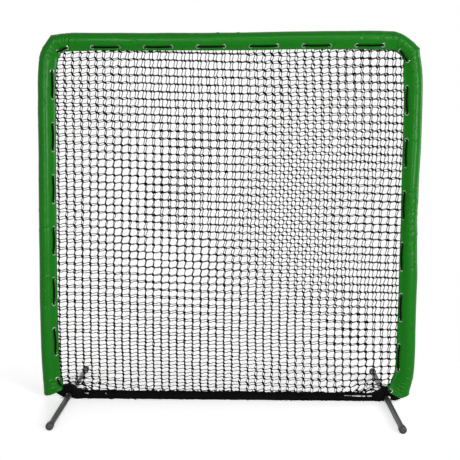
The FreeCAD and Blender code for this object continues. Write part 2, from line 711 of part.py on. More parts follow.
def row_of_eyelets(first, run):
    """Distances of the eyelets of a straight row, from a first one to the end of a run."""
    room = float(run - size_of(first) - size("eyelet_margin"))
    count = int(room / float(size("eyelet_spacing"))) + 1
    return [size_of(first) + step * size("eyelet_spacing") for step in range(count)]


def left_eyelets():
    """From the foot of the left upright to the end of its bend."""
    row = row_of_eyelets(size("first_left_eyelet"), size("frame_height") - size("left_flap_end"))
    up = [(-EYELET_BEND, BEND - down) for down in reversed(row)]
    return up + [on_bend(size("left_low_turn")), on_bend(size("left_high_turn"))]


def top_eyelets():
    """From left to right, measured from the right bend."""
    row = row_of_eyelets(size("first_top_eyelet"), size("frame_width") - BEND)
    return [(BEND_ACROSS + HALF_WIDTH - along, EYELET_BEND) for along in row]


def right_eyelets():
    """From the top right bend down to the bottom right bend."""
    row = row_of_eyelets(size("first_right_eyelet"), size("frame_height") - BEND)
    across, up = on_bend(size("right_foot_turn"), -1)
    return ([on_bend(size("right_high_turn")), on_bend(size("right_low_turn"))]
            + [(-EYELET_BEND, BEND - down) for down in row]
            + [(across, up - UPRIGHT_RUN)])


def punch_eyelets(body, places):
    """Punch the eyelets through both flaps of a sleeve."""
    holes = sketch_on(body, f"{body.Label}_eyelets", "XZ_Plane")
    for across, up in places:
        draw_hexagon(holes, across, up, size("eyelet_hole"))
    cut_depth(body, f"{body.Label}_eyelet_holes", holes, 4 * FLAP_OUTER, both_ways=True)


def trim_left_foot(body):
    """Open the left sleeve's foot, where the tube bends out of it, and slant its hem."""
    bottom = RAIL_LEVEL - TOP_BEND_LEVEL
    inner = -BEND + size("left_flap_cut")
    outer = -BEND - SLEEVE_RADIUS
    beyond = outer - size("trim_margin")
    cut = sketch_on(body, "cover_left_foot", "XZ_Plane")
    draw_outline(cut, (
        (inner, bottom + size("left_flap_end")), (0, bottom + size("left_flap_end")),
        (0, bottom - BEND), (beyond, bottom - BEND),
        (beyond, bottom + size("left_hem_outer")), (outer, bottom + size("left_hem_outer")),
        (inner, bottom + size("left_hem_inner")),
    ))
    cut_through(body, "cover_left_foot_cut", cut)


def make_covers():
    """Vinyl sleeves over the foam, with two laced flaps on the net's side."""
    left_run = UPRIGHT_RUN + BEND - size("left_hem_outer") + size("trim_margin")
    left = sleeve("cover_left", draw_skin, -1, left_run, 90, rail=LEFT_REACH)
    punch_eyelets(left, left_eyelets())
    trim_left_foot(left)
    right = sleeve("cover_right", draw_skin, 1, UPRIGHT_RUN, size("right_seam_turn"),
                   foot_bend=size("right_sleeve_turn"))
    punch_eyelets(right, right_eyelets())
    top = sleeve("cover_top", draw_skin, 1, rail=TOP_RUN, back_bend=TOP_BACK_BEND)
    punch_eyelets(top, top_eyelets())


def cord(points, radius):
    """A six-sided cord with mitred corners."""
    ways = [(end - start).normalize() for start, end in zip(points, points[1:])]
    side = ways[0].cross(Vector(0.3, 1, 0.2)).normalize()
    ring = [points[0] + Rotation(ways[0], 60 * turn).multVec(side) * radius for turn in range(6)]
    rings = [ring]
    for index, way in enumerate(ways):
        last = index == len(ways) - 1
        normal = way if last else (way + ways[index + 1]).normalize()
        corner = points[index + 1]
        ring = [point + way * ((corner - point).dot(normal) / way.dot(normal)) for point in ring]
        rings.append(ring)
    faces = [Part.Face(Part.makePolygon(rings[0] + rings[0][:1])),
             Part.Face(Part.makePolygon(rings[-1] + rings[-1][:1]))]
    for start, end in zip(rings, rings[1:]):
        for one in range(6):
            two = (one + 1) % 6
            faces.append(Part.Face(Part.makePolygon(
                [start[one], start[two], end[two], end[one], start[one]])))
    solid = Part.Solid(Part.Shell(faces))
    if solid.Volume < 0:
        solid.reverse()
    return solid


def make_pad_lace():
    """One cord, in front of and behind the flaps by turns, from one foot to the other."""
    centre, level = float(BEND_ACROSS), float(TOP_BEND_LEVEL)
    eyelets = [(-centre + float(across), level + float(up)) for across, up in left_eyelets()]
    eyelets += [(centre - float(across), level + float(up)) for across, up in top_eyelets()]
    eyelets += [(centre - float(across), level + float(up)) for across, up in right_eyelets()]
    proud = float(FLAP_OUTER + size("lace_diameter") / 2 + size("soft_gap"))
    tail = float(size("lace_tail"))
    slant = tail * math.sqrt(0.5)
    points = [Vector(eyelets[0][0] + slant, -proud, eyelets[0][1] - slant)]
    for index, (across, up) in enumerate(eyelets):
        towards = 1 if index % 2 == 0 else -1  # through to the rear, or back to the front
        points.append(Vector(across, -towards * proud, up))
        points.append(Vector(across, towards * proud, up))
    points.append(points[-1] - Vector(tail, 0, 0))
    group("pad_lace", [cord(points, float(size("lace_diameter")) / 2)])


def net_lines(first, low, high):
    """Places of the coarse grid's cords from one side of the nets past the other."""
    step = float(size("eyelet_spacing") * size("net_pitch_ratio"))
    start = float(first) - math.ceil((float(first) - float(low)) / step) * step
    return [start + step * number for number in range(int((float(high) - start) / step) + 2)]


def net_rows():
    """Levels of the coarse grid's level cords, from the bottom up."""
    first = TOP_LEVEL - size("first_left_eyelet") - size("net_row_shift")
    return net_lines(first, RAIL_LEVEL, TOP_LEVEL)


def net_columns():
    """Places of the coarse grid's upright cords, left to right."""
    first = size("first_top_eyelet") - HALF_WIDTH + size("net_column_shift")
    return net_lines(first, -HALF_WIDTH, HALF_WIDTH)


def net_outline():
    """The edge of the nets: along the tube all round, stepped up over the bottom corners."""
    inset = float(BEND - FOAM_BORE)
    side = float(BEND_ACROSS)
    top, foot = float(TOP_BEND_LEVEL), float(FOOT_BEND_LEVEL)
    bottom = float(RAIL_LEVEL + HEM_RADIUS + size("soft_gap"))
    corner = float(RAIL_LEVEL + size("net_step_level"))
    hem, step = float(NET_FOOT_HALF), float(HALF_WIDTH - size("net_step_inset"))
    turn = math.asin((foot - corner) / inset)

    def spot(across, up):
        return Vector(across, 0, up)

    def bend(way, middle, start, end):
        """An arc about the middle of a bend, between two angles from the level."""
        places = [spot(way * (side + inset * math.cos(angle)), middle + inset * math.sin(angle))
                  for angle in (start, (start + end) / 2, end)]
        return Part.Arc(*places).toShape()

    right = bend(1, foot, -turn, 0), bend(1, top, 0, math.pi / 2)
    left = bend(-1, top, math.pi / 2, 0), bend(-1, foot, 0, -turn)
    low = side + inset * math.cos(turn)
    lines = [
        (spot(-hem, bottom), spot(hem, bottom)), (spot(hem, bottom), spot(step, corner)),
        (spot(step, corner), spot(low, corner)), right[0],
        (spot(side + inset, foot), spot(side + inset, top)), right[1],
        (spot(side, top + inset), spot(-side, top + inset)), left[0],
        (spot(-side - inset, top), spot(-side - inset, foot)), left[1],
        (spot(-low, corner), spot(-step, corner)), (spot(-step, corner), spot(-hem, bottom)),
    ]
    return Part.Wire([Part.LineSegment(*line).toShape() if isinstance(line, tuple) else line
                      for line in lines])


def net_face():
    """The coarse grid as one flat face with a hole for every cell."""
    half = float(size("net_cord")) / 2
    outline = net_outline()
    inside = Part.Face(outline.makeOffset2D(-2 * half, 2))
    columns, rows = net_columns(), net_rows()
    cells = []
    for left, right in zip(columns, columns[1:]):
        for bottom, top in zip(rows, rows[1:]):
            corners = [Vector(left + half, 0, bottom + half), Vector(right - half, 0, bottom + half),
                       Vector(right - half, 0, top - half), Vector(left + half, 0, top - half)]
            cells.append(Part.Face(Part.makePolygon(corners + corners[:1])))
    holes = inside.common(Part.makeCompound(cells)).Faces
    least = float(size("net_least_gap"))
    wires = [outline] + [hole.OuterWire for hole in holes
                         if min(hole.BoundBox.XLength, hole.BoundBox.ZLength) > least]
    return Part.makeFace(wires, "Part::FaceMakerBullseye")


def make_nets():
    """Two nets side by side. Only about one mesh cord in five is there."""
    grid = doc.addObject("Part::Feature", "net_grid")
    grid.Shape = net_face()
    for name, way in (("net_front", -1), ("net_rear", 1)):
        net = doc.addObject("Part::Extrusion", name)
        net.Label = name
        net.Base = grid
        net.DirMode = "Custom"
        net.Dir = Vector(0, 1, 0)
        net.Solid = True
        net.Symmetric = True
        bind(net, "LengthFwd", size("net_thickness"))
        bind(net, "Placement.Base.y", way * size("net_spread") / 2)
        NODES.append(net)


def draw_hem(sketch, start, end):
    """Part of a ring round the rail, between two angles measured from the front over the top."""
    radii = (HEM_RADIUS, FOAM_BORE)
    angles = (180 - end, 180 - start)
    centre, normal = Vector(0, 0, 0), Vector(0, 0, 1)
    turns = [math.radians(float(angle)) for angle in angles]
    for radius in radii:
        circle = Part.Circle(centre, normal, float(radius))
        sketch.addGeometry(Part.ArcOfCircle(circle, *turns), False)
    for turn in turns:
        way = Vector(math.cos(turn), math.sin(turn), 0)
        sketch.addGeometry(Part.LineSegment(way * float(radii[0]), way * float(radii[1])), False)
    for arc, radius in enumerate(radii):
        hold(sketch, "Coincident", arc, 3, -1, 1)
        hold(sketch, "Radius", arc, value=radius)
        for arc_end, line in ((1, 2), (2, 3)):
            hold(sketch, "Coincident", arc, arc_end, line, arc + 1)
            angle = angles[arc_end - 1]
            upright = abs(math.sin(turns[arc_end - 1])) > 0.7
            kind, ratio = ("DistanceX", cosine(angle)) if upright else ("DistanceY", sine(angle))
            hold(sketch, kind, arc, arc_end, value=radius * ratio)


def hem(name, start, end):
    """One net's bottom edge, wrapped part of the way round the rail."""
    body = new_body(name)
    section = sketch_on(body, f"{name}_section", "YZ_Plane")
    draw_hem(section, start, end)
    pad(body, f"{name}_wrap", section, 2 * NET_FOOT_HALF, both_ways=True)
    place(body, 0, RAIL_LEVEL)
    return body


def make_hems():
    """Both nets' bottom edges and the cord that draws them together in front."""
    hem("net_hem_front", size("hem_slot"), size("hem_top") - size("hem_seam"))
    rear = hem("net_hem_rear", size("hem_top"), 360 - size("hem_slot"))
    heads = sketch_on(rear, "net_hem_rear_heads", "XZ_Plane")
    for way in (1, -1):
        draw_hexagon(heads, size("rail_splice") + way * size("screw_spread") / 2, 0, SCREW_POCKET)
    cut_depth(rear, "net_hem_rear_head_holes", heads, 2 * HEM_RADIUS)
    lacing_front = -float(HEM_RADIUS * cosine(size("hem_slot")) + HEM_LACE_RADIUS
                          + size("soft_gap"))
    step = float(size("hem_lace_step"))
    rise = float(size("hem_lace_rise")) / 2
    count = int(float(NET_FOOT_HALF - size("hem_lace_margin")) / step)
    points = [Vector(number * step, lacing_front,
                     float(RAIL_LEVEL) + (rise if number % 2 else -rise))
              for number in range(-count, count + 1)]
    group("hem_lacing", [cord(points, float(HEM_LACE_RADIUS))])


BUNDLE_OUTLINE = (
    (-60, 128), (-25, 141), (60, 142), (78, 136), (78, 108), (66, 99), (31, 86), (14, 66),
    (-9, 62),
)
LEFT_BUNDLE_END = ((-35, 68), (-70, 66), (-93, 61), (-93, 100))
RIGHT_BUNDLE_END = ((-35, 68.5), (-64, 125))


def bundle(name, outline, across, turn):
    """Spare net gathered on a bottom bend, drawn about the centre of the bend."""
    body = new_body(name)
    shape = sketch_on(body, f"{name}_outline", "XZ_Plane")
    draw_outline(shape, outline)
    pad(body, f"{name}_mass", shape, size("bundle_depth"), both_ways=True)
    soften(body, name, size("bundle_depth") / 2, size("bundle_edge"))
    channel = sketch_on(body, f"{name}_channel_outline", "XZ_Plane")
    draw_channel(channel)
    cut_depth(body, f"{name}_channel", channel, 2 * FOAM_BORE, both_ways=True)
    legs = sketch_on(body, f"{name}_leg", "XZ_Plane")
    middle, half = size("leg_inset") - BEND, LEG_RADIUS + size("soft_gap")
    draw_outline(legs, ((middle - half, BEND - half), (middle + half, BEND - half),
                        (middle + half, BEND + half), (middle - half, BEND + half)))
    cut_through(body, f"{name}_leg_channel", legs)
    place(body, across, FOOT_BEND_LEVEL, turn)


def draw_channel(sketch):
    """The flat-sided way that the bent tube takes through the gathered net."""
    inner = BEND - FOAM_BORE
    outer = BEND + 2 * FOAM_BORE
    radius = inner.number
    corners = [(-inner, 0), (-outer, 0), (-outer, outer), (outer, outer), (outer, inner),
               (0, inner)]
    points = [Vector(float(across), float(up), 0) for across, up in corners]
    for start, end in zip(points, points[1:]):
        sketch.addGeometry(Part.LineSegment(start, end), False)
    circle = Part.Circle(Vector(0, 0, 0), Vector(0, 0, 1), radius)
    arc = sketch.addGeometry(Part.ArcOfCircle(circle, math.pi / 2, math.pi), False)
    hold(sketch, "Coincident", arc, 3, -1, 1)
    hold(sketch, "Coincident", arc, 2, 0, 1)
    hold(sketch, "Coincident", arc, 1, 4, 2)
    for line in range(4):
        hold(sketch, "Coincident", line, 2, line + 1, 1)
    for index, (across, up) in enumerate(corners[1:5], start=1):
        hold(sketch, "DistanceX", index, 1, value=across)
        hold(sketch, "DistanceY", index, 1, value=up)
    hold(sketch, "DistanceX", 0, 1, value=-inner)
    hold(sketch, "PointOnObject", 0, 1, -1)
    hold(sketch, "PointOnObject", 4, 2, -2)


def soften(body, name, face_level, edge):
    """Bevel the front and rear edges of a body that lies on both sides of its mid-plane."""
    doc.recompute()
    mass = body.Tip
    level = float(face_level)
    edges = [f"Edge{number}" for number, item in enumerate(mass.Shape.Edges, start=1)
             if abs(abs(sum(vertex.Point.y for vertex in item.Vertexes) / 2) - level) < 0.01]
    bevel = body.newObject("PartDesign::Chamfer", f"{name}_bevel")
    bevel.Base = (mass, edges)
    bind(bevel, "Size", edge)
    body.Tip = bevel


def make_bundles():
    """Spare net gathered on both bottom bends."""
    bundle("corner_gather_left", BUNDLE_OUTLINE + LEFT_BUNDLE_END, -BEND_ACROSS, HALF_TURN_X)
    bundle("corner_gather_right", BUNDLE_OUTLINE + RIGHT_BUNDLE_END, BEND_ACROSS, HALF_TURN_Y)


def write_parts():
    """Check every object and write one file for each node."""
    doc.recompute()
    for item in doc.Objects:
        if "Invalid" in item.State or "Error" in item.State:
            raise RuntimeError(f"{item.Name} is {item.State}")
    os.makedirs("parts", exist_ok=True)
    for node in NODES:
        shape = node.Shape
        if shape.isNull() or not shape.isValid() or not shape.Solids:
            raise RuntimeError(f"{node.Label} has no valid solid")
        shape.exportStep(f"parts/{node.Label}.step")
        box = shape.BoundBox
        print(f"{node.Label}: {len(shape.Solids)} solid, {shape.Volume:.0f} mm3, "
              f"x {box.XMin:.1f} to {box.XMax:.1f}, y {box.YMin:.1f} to {box.YMax:.1f}, "
              f"z {box.ZMin:.1f} to {box.ZMax:.1f}")


make_frame()
make_splices()
make_splice_screws()
make_legs()
make_leg_bolts()
make_foam()
make_covers()
make_pad_lace()
make_nets()
make_hems()
make_bundles()
write_parts()
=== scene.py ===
# %% [markdown]
# A padded field screen, dressed for a studio picture.
#
# The real object is a bent steel frame, seven feet square, with two black knotted nets laced
# into it. Green vinyl sleeves pad the uprights and the top rail. This lesson starts from the
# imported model, keeps its rigid pieces where they are, and builds everything soft again as a
# mesh: the sleeves, the lace, the nets, and the spare net on the bottom rail.

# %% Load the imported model
import math

import bpy
import numpy as np
from mathutils import Matrix, Vector, noise
from mathutils.bvhtree import BVHTree


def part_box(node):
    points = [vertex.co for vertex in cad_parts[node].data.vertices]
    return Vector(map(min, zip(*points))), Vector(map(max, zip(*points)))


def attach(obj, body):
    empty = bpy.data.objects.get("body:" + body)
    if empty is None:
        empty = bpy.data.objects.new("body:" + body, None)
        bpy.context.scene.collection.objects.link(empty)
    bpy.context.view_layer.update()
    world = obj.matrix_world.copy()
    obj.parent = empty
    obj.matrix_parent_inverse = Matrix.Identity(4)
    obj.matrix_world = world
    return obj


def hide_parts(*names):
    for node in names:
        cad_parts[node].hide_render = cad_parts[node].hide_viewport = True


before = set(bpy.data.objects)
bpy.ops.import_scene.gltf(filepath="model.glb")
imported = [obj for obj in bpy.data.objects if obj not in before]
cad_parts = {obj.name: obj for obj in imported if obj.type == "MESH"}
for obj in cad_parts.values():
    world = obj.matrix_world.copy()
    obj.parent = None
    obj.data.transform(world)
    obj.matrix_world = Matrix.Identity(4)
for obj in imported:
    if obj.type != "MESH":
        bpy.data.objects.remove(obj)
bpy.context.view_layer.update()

print("nodes:", len(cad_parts))

# %% [markdown]
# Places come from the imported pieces, so that nothing has to be fitted by eye. The tube's own
# size, the bend and the sleeve are real sizes of this kind of screen. All lengths are metres;
# a size that is thought of in millimetres is written with MM.

# %% Places on the frame
MM = 0.001
TUBE_RADIUS = 38.1 * MM / 2
BEND = 127 * MM
RAIL_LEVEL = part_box("cap_front_left")[1].z / 2
TOP_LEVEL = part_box("frame_top_right")[1].z - TUBE_RADIUS
HALF_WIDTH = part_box("frame_top_right")[1].x - TUBE_RADIUS
LEG_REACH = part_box("cap_rear_left")[1].y
BEND_ACROSS = HALF_WIDTH - BEND
TOP_BEND = TOP_LEVEL - BEND
FOOT_BEND = RAIL_LEVEL + BEND
UPRIGHT_RUN = TOP_BEND - FOOT_BEND
QUARTER = BEND * math.pi / 2
print("between centrelines:", round(2 * HALF_WIDTH, 3), "by", round(TOP_LEVEL - RAIL_LEVEL, 3))

# %% [markdown]
# Every soft piece here is either a tube along a line or a skin over a grid of points. Both are
# easy to work out as arrays of numbers, which is quicker than moving corners one by one, and
# keeps the quads regular. A shape is its points and a list of face arrays.

# %% Shapes from arrays
def unit(vectors):
    """Vectors of length one."""
    return vectors / np.linalg.norm(vectors, axis=-1, keepdims=True)


def grid_faces(rows, columns, closed=False):
    """Quads over a grid of points, by row. A closed grid joins its last column to its first."""
    index = np.arange(rows * columns).reshape(rows, columns)
    beside = np.roll(index, -1, axis=1)
    quads = np.stack([index[:-1], beside[:-1], beside[1:], index[1:]], axis=-1)
    return quads if closed else quads[:, :-1]


def tubes(paths, radius, sides=6):
    """Closed round tubes along several lines that have as many points each."""
    paths = np.asarray(paths, float)
    if paths.ndim == 2:
        paths = paths[None]
    count, length = paths.shape[:2]
    way = unit(np.gradient(paths, axis=1))
    across = np.empty_like(paths)
    across[:, 0] = unit(np.cross(way[:, 0], (0.31, 0.9, 0.29)))
    for step in range(1, length):
        last = across[:, step - 1]
        leaning = (last * way[:, step]).sum(axis=1, keepdims=True)
        across[:, step] = unit(last - leaning * way[:, step])
    up = np.cross(way, across)
    turns = np.arange(sides) * 2 * math.pi / sides
    ring = (across[:, :, None] * np.cos(turns)[:, None] + up[:, :, None] * np.sin(turns)[:, None])
    radius = np.broadcast_to(radius, (count, length))[..., None, None]
    points = (paths[:, :, None] + radius * ring).reshape(-1, 3)
    index = np.arange(len(points)).reshape(count, length, sides)
    beside = np.roll(index, -1, axis=2)
    walls = np.stack([index[:, :-1], beside[:, :-1], beside[:, 1:], index[:, 1:]], axis=-1)
    return points, [walls.reshape(-1, 4), index[:, 0, ::-1], index[:, -1]]


def joined(shapes):
    """Several shapes as one."""
    points, faces, start = [], [], 0
    for more_points, more_faces in shapes:
        points.append(more_points)
        faces.extend(group + start for group in more_faces)
        start += len(more_points)
    return np.concatenate(points), faces


def piece_of(name, shape, material):
    """A smooth mesh object that rides on the screen's one body and stays above the floor."""
    points, faces = shape
    points[:, 2] = np.maximum(points[:, 2], 0)
    mesh = bpy.data.meshes.new(name)
    mesh.from_pydata(points.tolist(), [], [face for group in faces for face in group.tolist()])
    mesh.polygons.foreach_set("use_smooth", [True] * len(mesh.polygons))
    mesh.materials.append(material)
    piece = bpy.data.objects.new(name, mesh)
    bpy.context.scene.collection.objects.link(piece)
    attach(piece, "root")
    print(name, len(mesh.polygons), "faces")
    return piece


def rounded(line, rounds=3):
    """An open line with its corners cut again and again, until it is a smooth curve."""
    line = np.asarray(line, float)
    for _ in range(rounds):
        early = line[:-1] * 0.75 + line[1:] * 0.25
        late = line[:-1] * 0.25 + line[1:] * 0.75
        middle = np.stack([early, late], axis=1).reshape(-1, line.shape[1])
        line = np.concatenate([line[:1], middle, line[-1:]])
    return line


def lathe(centre, axis, profile, sides=32):
    """A closed shape turned round a line, from radii and distances along it."""
    axis = unit(np.asarray(axis, float))
    across = unit(np.cross(axis, (0.2, 0.3, 0.93)))
    up = np.cross(axis, across)
    turns = np.arange(sides) * 2 * math.pi / sides
    ring = np.cos(turns)[:, None] * across + np.sin(turns)[:, None] * up
    points = np.concatenate([centre + axis * along + ring * radius for radius, along in profile])
    walls = grid_faces(len(profile), sides, closed=True)
    first = np.arange(sides)[None]
    return points, [walls.reshape(-1, 4), first[:, ::-1], first + len(points) - sides]


def spread(seed, shape, blur):
    """A random field with a mean of zero and a deviation of one, smoothed between neighbours."""
    field = np.random.default_rng(seed).normal(size=shape)
    for _ in range(blur):
        for axis in range(field.ndim):
            before = np.take(field, [0, *range(field.shape[axis] - 1)], axis=axis)
            after = np.take(field, [*range(1, field.shape[axis]), -1], axis=axis)
            field = (before + 2 * field + after) / 4
    return (field - field.mean()) / field.std()


# %% [markdown]
# Materials. Each one is named for what the real part is made of and how its surface was made.
# Colours are written as they look on a screen, and one function turns them to the linear values
# that the renderer works with. Patterns are given in millimetres of the real surface.

# %% Shader helpers
def srgb(code, alpha=1.0):
    """The linear colour of a hex code."""
    parts = [int(code[start:start + 2], 16) / 255 for start in (1, 3, 5)]
    return (*[part / 12.92 if part <= 0.04045 else ((part + 0.055) / 1.055) ** 2.4
              for part in parts], alpha)


def per_metre(size):
    """A texture's scale for features of so many millimetres."""
    return 1 / (size * MM)


def add_node(tree, kind, settings=(), links=()):
    """One shader node, its settings, and the outputs that feed it."""
    node = tree.nodes.new(kind)
    for name, value in dict(settings).items():
        if isinstance(name, int) or name in node.inputs:
            node.inputs[name].default_value = value
        else:
            setattr(node, name, value)
    for name, source in dict(links).items():
        tree.links.new(source, node.inputs[name])
    return node


def start_material(name, settings):
    """A material, its node tree, its shader and the place on the object."""
    material = bpy.data.materials.new(name)
    material.use_nodes = True
    tree = material.node_tree
    shader = tree.nodes["Principled BSDF"]
    for input_name, value in settings.items():
        shader.inputs[input_name].default_value = value
    place = add_node(tree, "ShaderNodeTexCoord").outputs["Object"]
    return material, tree, shader, place


def two_tones(tree, shader, mask, dark, light):
    """Feed the shader's colour from two tones and a mask."""
    tones = add_node(tree, "ShaderNodeMix", {"data_type": "RGBA", 6: srgb(dark), 7: srgb(light)},
                     {0: mask})
    tree.links.new(tones.outputs[2], shader.inputs["Base Color"])
    return tones


def rough_between(tree, shader, mask, smooth, rough):
    """Feed the shader's roughness from a mask."""
    span = add_node(tree, "ShaderNodeMapRange", {"To Min": smooth, "To Max": rough},
                    {"Value": mask})
    tree.links.new(span.outputs["Result"], shader.inputs["Roughness"])


def raise_bumps(tree, shader, heights):
    """Chain bumps, each a height output, a strength and a depth in millimetres."""
    normal = None
    for height, strength, depth in heights:
        links = {"Height": height} if normal is None else {"Height": height, "Normal": normal}
        bump = add_node(tree, "ShaderNodeBump", {"Strength": strength, "Distance": depth * MM},
                        links)
        normal = bump.outputs["Normal"]
    tree.links.new(normal, shader.inputs["Normal"])


# %% [markdown]
# The sleeves are polyester fabric with a soft vinyl coat, calendered with a fine leather grain.
# The coat gives a broad satin highlight, and the grain breaks its edge up. The grain is drawn at
# 1.6 mm, about twice as coarse as the real one, so that it shows.

# %% Vinyl-coated polyester
def make_vinyl():
    material, tree, shader, place = start_material("calendered_vinyl_fabric", {
        "Roughness": 0.28, "IOR": 1.5, "Specular IOR Level": 0.15})
    shade = add_node(tree, "ShaderNodeTexNoise", {"Scale": per_metre(260), "Detail": 3.0},
                     {"Vector": place}).outputs["Fac"]
    two_tones(tree, shader, shade, "#096807", "#0C7509")
    grain = add_node(tree, "ShaderNodeTexVoronoi", {"Scale": per_metre(1.6),
                     "feature": "SMOOTH_F1"}, {"Vector": place}).outputs["Distance"]
    soft = add_node(tree, "ShaderNodeTexNoise", {"Scale": per_metre(38), "Detail": 2.0},
                    {"Vector": place}).outputs["Fac"]
    rough_between(tree, shader, soft, 0.24, 0.34)
    raise_bumps(tree, shader, [(soft, 0.25, 3.0), (grain, 0.3, 0.25)])
    return material


# %% [markdown]
# The frame is mild steel tube, hot-dip galvanised. The zinc freezes in flat crystals, called
# spangle, which are 6 to 15 mm across and differ a little in brightness and gloss.

# %% Hot-dip galvanised steel
def make_galvanised():
    material, tree, shader, place = start_material("hot_dip_galvanised_steel", {
        "Metallic": 1.0, "Roughness": 0.42})
    spangle = add_node(tree, "ShaderNodeTexVoronoi", {"Scale": per_metre(9)}, {"Vector": place})
    tone = add_node(tree, "ShaderNodeSeparateColor", {}, {"Color": spangle.outputs["Color"]})
    two_tones(tree, shader, tone.outputs["Red"], "#A9ABA8", "#C4C6C3")
    rough_between(tree, shader, tone.outputs["Green"], 0.34, 0.52)
    wear = add_node(tree, "ShaderNodeTexNoise", {"Scale": per_metre(2.5), "Detail": 4.0},
                    {"Vector": place}).outputs["Fac"]
    raise_bumps(tree, shader, [(wear, 0.15, 0.1)])
    return material


# %% [markdown]
# The screws, bolts and nuts are plated with bright zinc, and the brass eyelets with nickel. A
# plated surface is smooth metal that has gone a little dull in handling, so one function makes
# both: two close tones and two degrees of roughness, mixed by a fine stain.

# %% Zinc-plated and nickel-plated metal
def make_plated(name, dark, light, smooth, rough):
    material, tree, shader, place = start_material(name, {"Metallic": 1.0, "Roughness": smooth})
    stain = add_node(tree, "ShaderNodeTexNoise", {"Scale": per_metre(4), "Detail": 3.0},
                     {"Vector": place}).outputs["Fac"]
    two_tones(tree, shader, stain, dark, light)
    rough_between(tree, shader, stain, smooth, rough)
    raise_bumps(tree, shader, [(stain, 0.1, 0.05)])
    return material


# %% [markdown]
# The legs are powder-coated: the dry powder melts into a skin with a slight orange peel, whose
# dimples are 1 to 3 mm across. The caps are moulded rubber, duller, with a fine spark-eroded
# texture from the mould.

# %% Powder coat and moulded rubber
def make_powder_coat():
    material, tree, shader, place = start_material("powder_coated_steel", {
        "Roughness": 0.42, "IOR": 1.5, "Specular IOR Level": 0.5})
    peel = add_node(tree, "ShaderNodeTexNoise", {"Scale": per_metre(2.2), "Detail": 2.0},
                    {"Vector": place}).outputs["Fac"]
    scuff = add_node(tree, "ShaderNodeTexNoise", {"Scale": per_metre(45), "Detail": 5.0,
                     "Roughness": 0.65}, {"Vector": place}).outputs["Fac"]
    two_tones(tree, shader, scuff, "#2B2A2A", "#383737")
    rough_between(tree, shader, scuff, 0.36, 0.55)
    raise_bumps(tree, shader, [(peel, 0.3, 0.12)])
    return material


def make_rubber():
    material, tree, shader, place = start_material("moulded_rubber", {
        "Roughness": 0.55, "IOR": 1.5, "Specular IOR Level": 0.45})
    dust = add_node(tree, "ShaderNodeTexNoise", {"Scale": per_metre(14), "Detail": 5.0},
                    {"Vector": place}).outputs["Fac"]
    grit = add_node(tree, "ShaderNodeTexNoise", {"Scale": per_metre(0.7), "Detail": 2.0},
                    {"Vector": place}).outputs["Fac"]
    two_tones(tree, shader, dust, "#292929", "#383838")
    rough_between(tree, shader, dust, 0.45, 0.65)
    raise_bumps(tree, shader, [(grit, 0.3, 0.1)])
    return material


# %% [markdown]
# The net is twisted nylon twine with a black bonding dip, and the lace is braided cord. Both are
# round bundles of fibre, so they get a bump pattern as fine as a strand and a trace of sheen. The
# pattern has no direction of its own, because the lines run every way.

# %% Bonded twine and braided cord
def make_fibre(name, dark, light, strand, rough, gloss):
    material, tree, shader, place = start_material(name, {
        "Roughness": rough, "IOR": 1.5, "Specular IOR Level": gloss, "Sheen Weight": 0.01,
        "Sheen Roughness": 0.4})
    lay = add_node(tree, "ShaderNodeTexVoronoi", {"Scale": per_metre(strand),
                   "feature": "SMOOTH_F1"}, {"Vector": place}).outputs["Distance"]
    dust = add_node(tree, "ShaderNodeTexNoise", {"Scale": per_metre(60), "Detail": 3.0},
                    {"Vector": place}).outputs["Fac"]
    two_tones(tree, shader, dust, dark, light)
    raise_bumps(tree, shader, [(lay, 0.5, 0.4)])
    return material


# %% [markdown]
# Now the materials are made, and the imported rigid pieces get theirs. The start of a piece's name
# says what it is made of, so a short table is enough.

# %% Make the materials and finish the rigid pieces
VINYL = make_vinyl()
GALVANISED = make_galvanised()
ZINC = make_plated("zinc_plated_steel", "#A3A5A6", "#CBCCCB", 0.28, 0.42)
NICKEL = make_plated("nickel_plated_brass", "#8F8C8D", "#B3B0B0", 0.18, 0.32)
POWDER_COAT = make_powder_coat()
RUBBER = make_rubber()
TWINE = make_fibre("bonded_nylon_twine", "#050505", "#0B0B0B", 1.1, 0.6, 0.04)
CORD = make_fibre("braided_polyester_cord", "#070708", "#0E0D0F", 1.4, 0.45, 0.03)

finishes = {"frame": GALVANISED, "splice": GALVANISED, "leg_front": POWDER_COAT,
            "leg_rear": POWDER_COAT, "cap": RUBBER, "leg_bolts": ZINC, "leg_nuts": ZINC,
            "splice_screws": ZINC}
for name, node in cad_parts.items():
    for start, material in finishes.items():
        if name.startswith(start):
            node.data.materials.clear()
            node.data.materials.append(material)
print("materials:", len(bpy.data.materials))


# %% [markdown]
# The sleeves follow the frame. One function gives the middle of the tube and the outward way at
# any distance along it, counted from the foot of the left upright, up, over the top and down.
# Past the left foot the sleeve hangs straight, because the tube bends away inside it.

# %% The line that the sleeves follow
LEFT_BEND_START = UPRIGHT_RUN
TOP_START = LEFT_BEND_START + QUARTER
RIGHT_BEND_START = TOP_START + 2 * BEND_ACROSS
RIGHT_START = RIGHT_BEND_START + QUARTER
FOOT_START = RIGHT_START + UPRIGHT_RUN


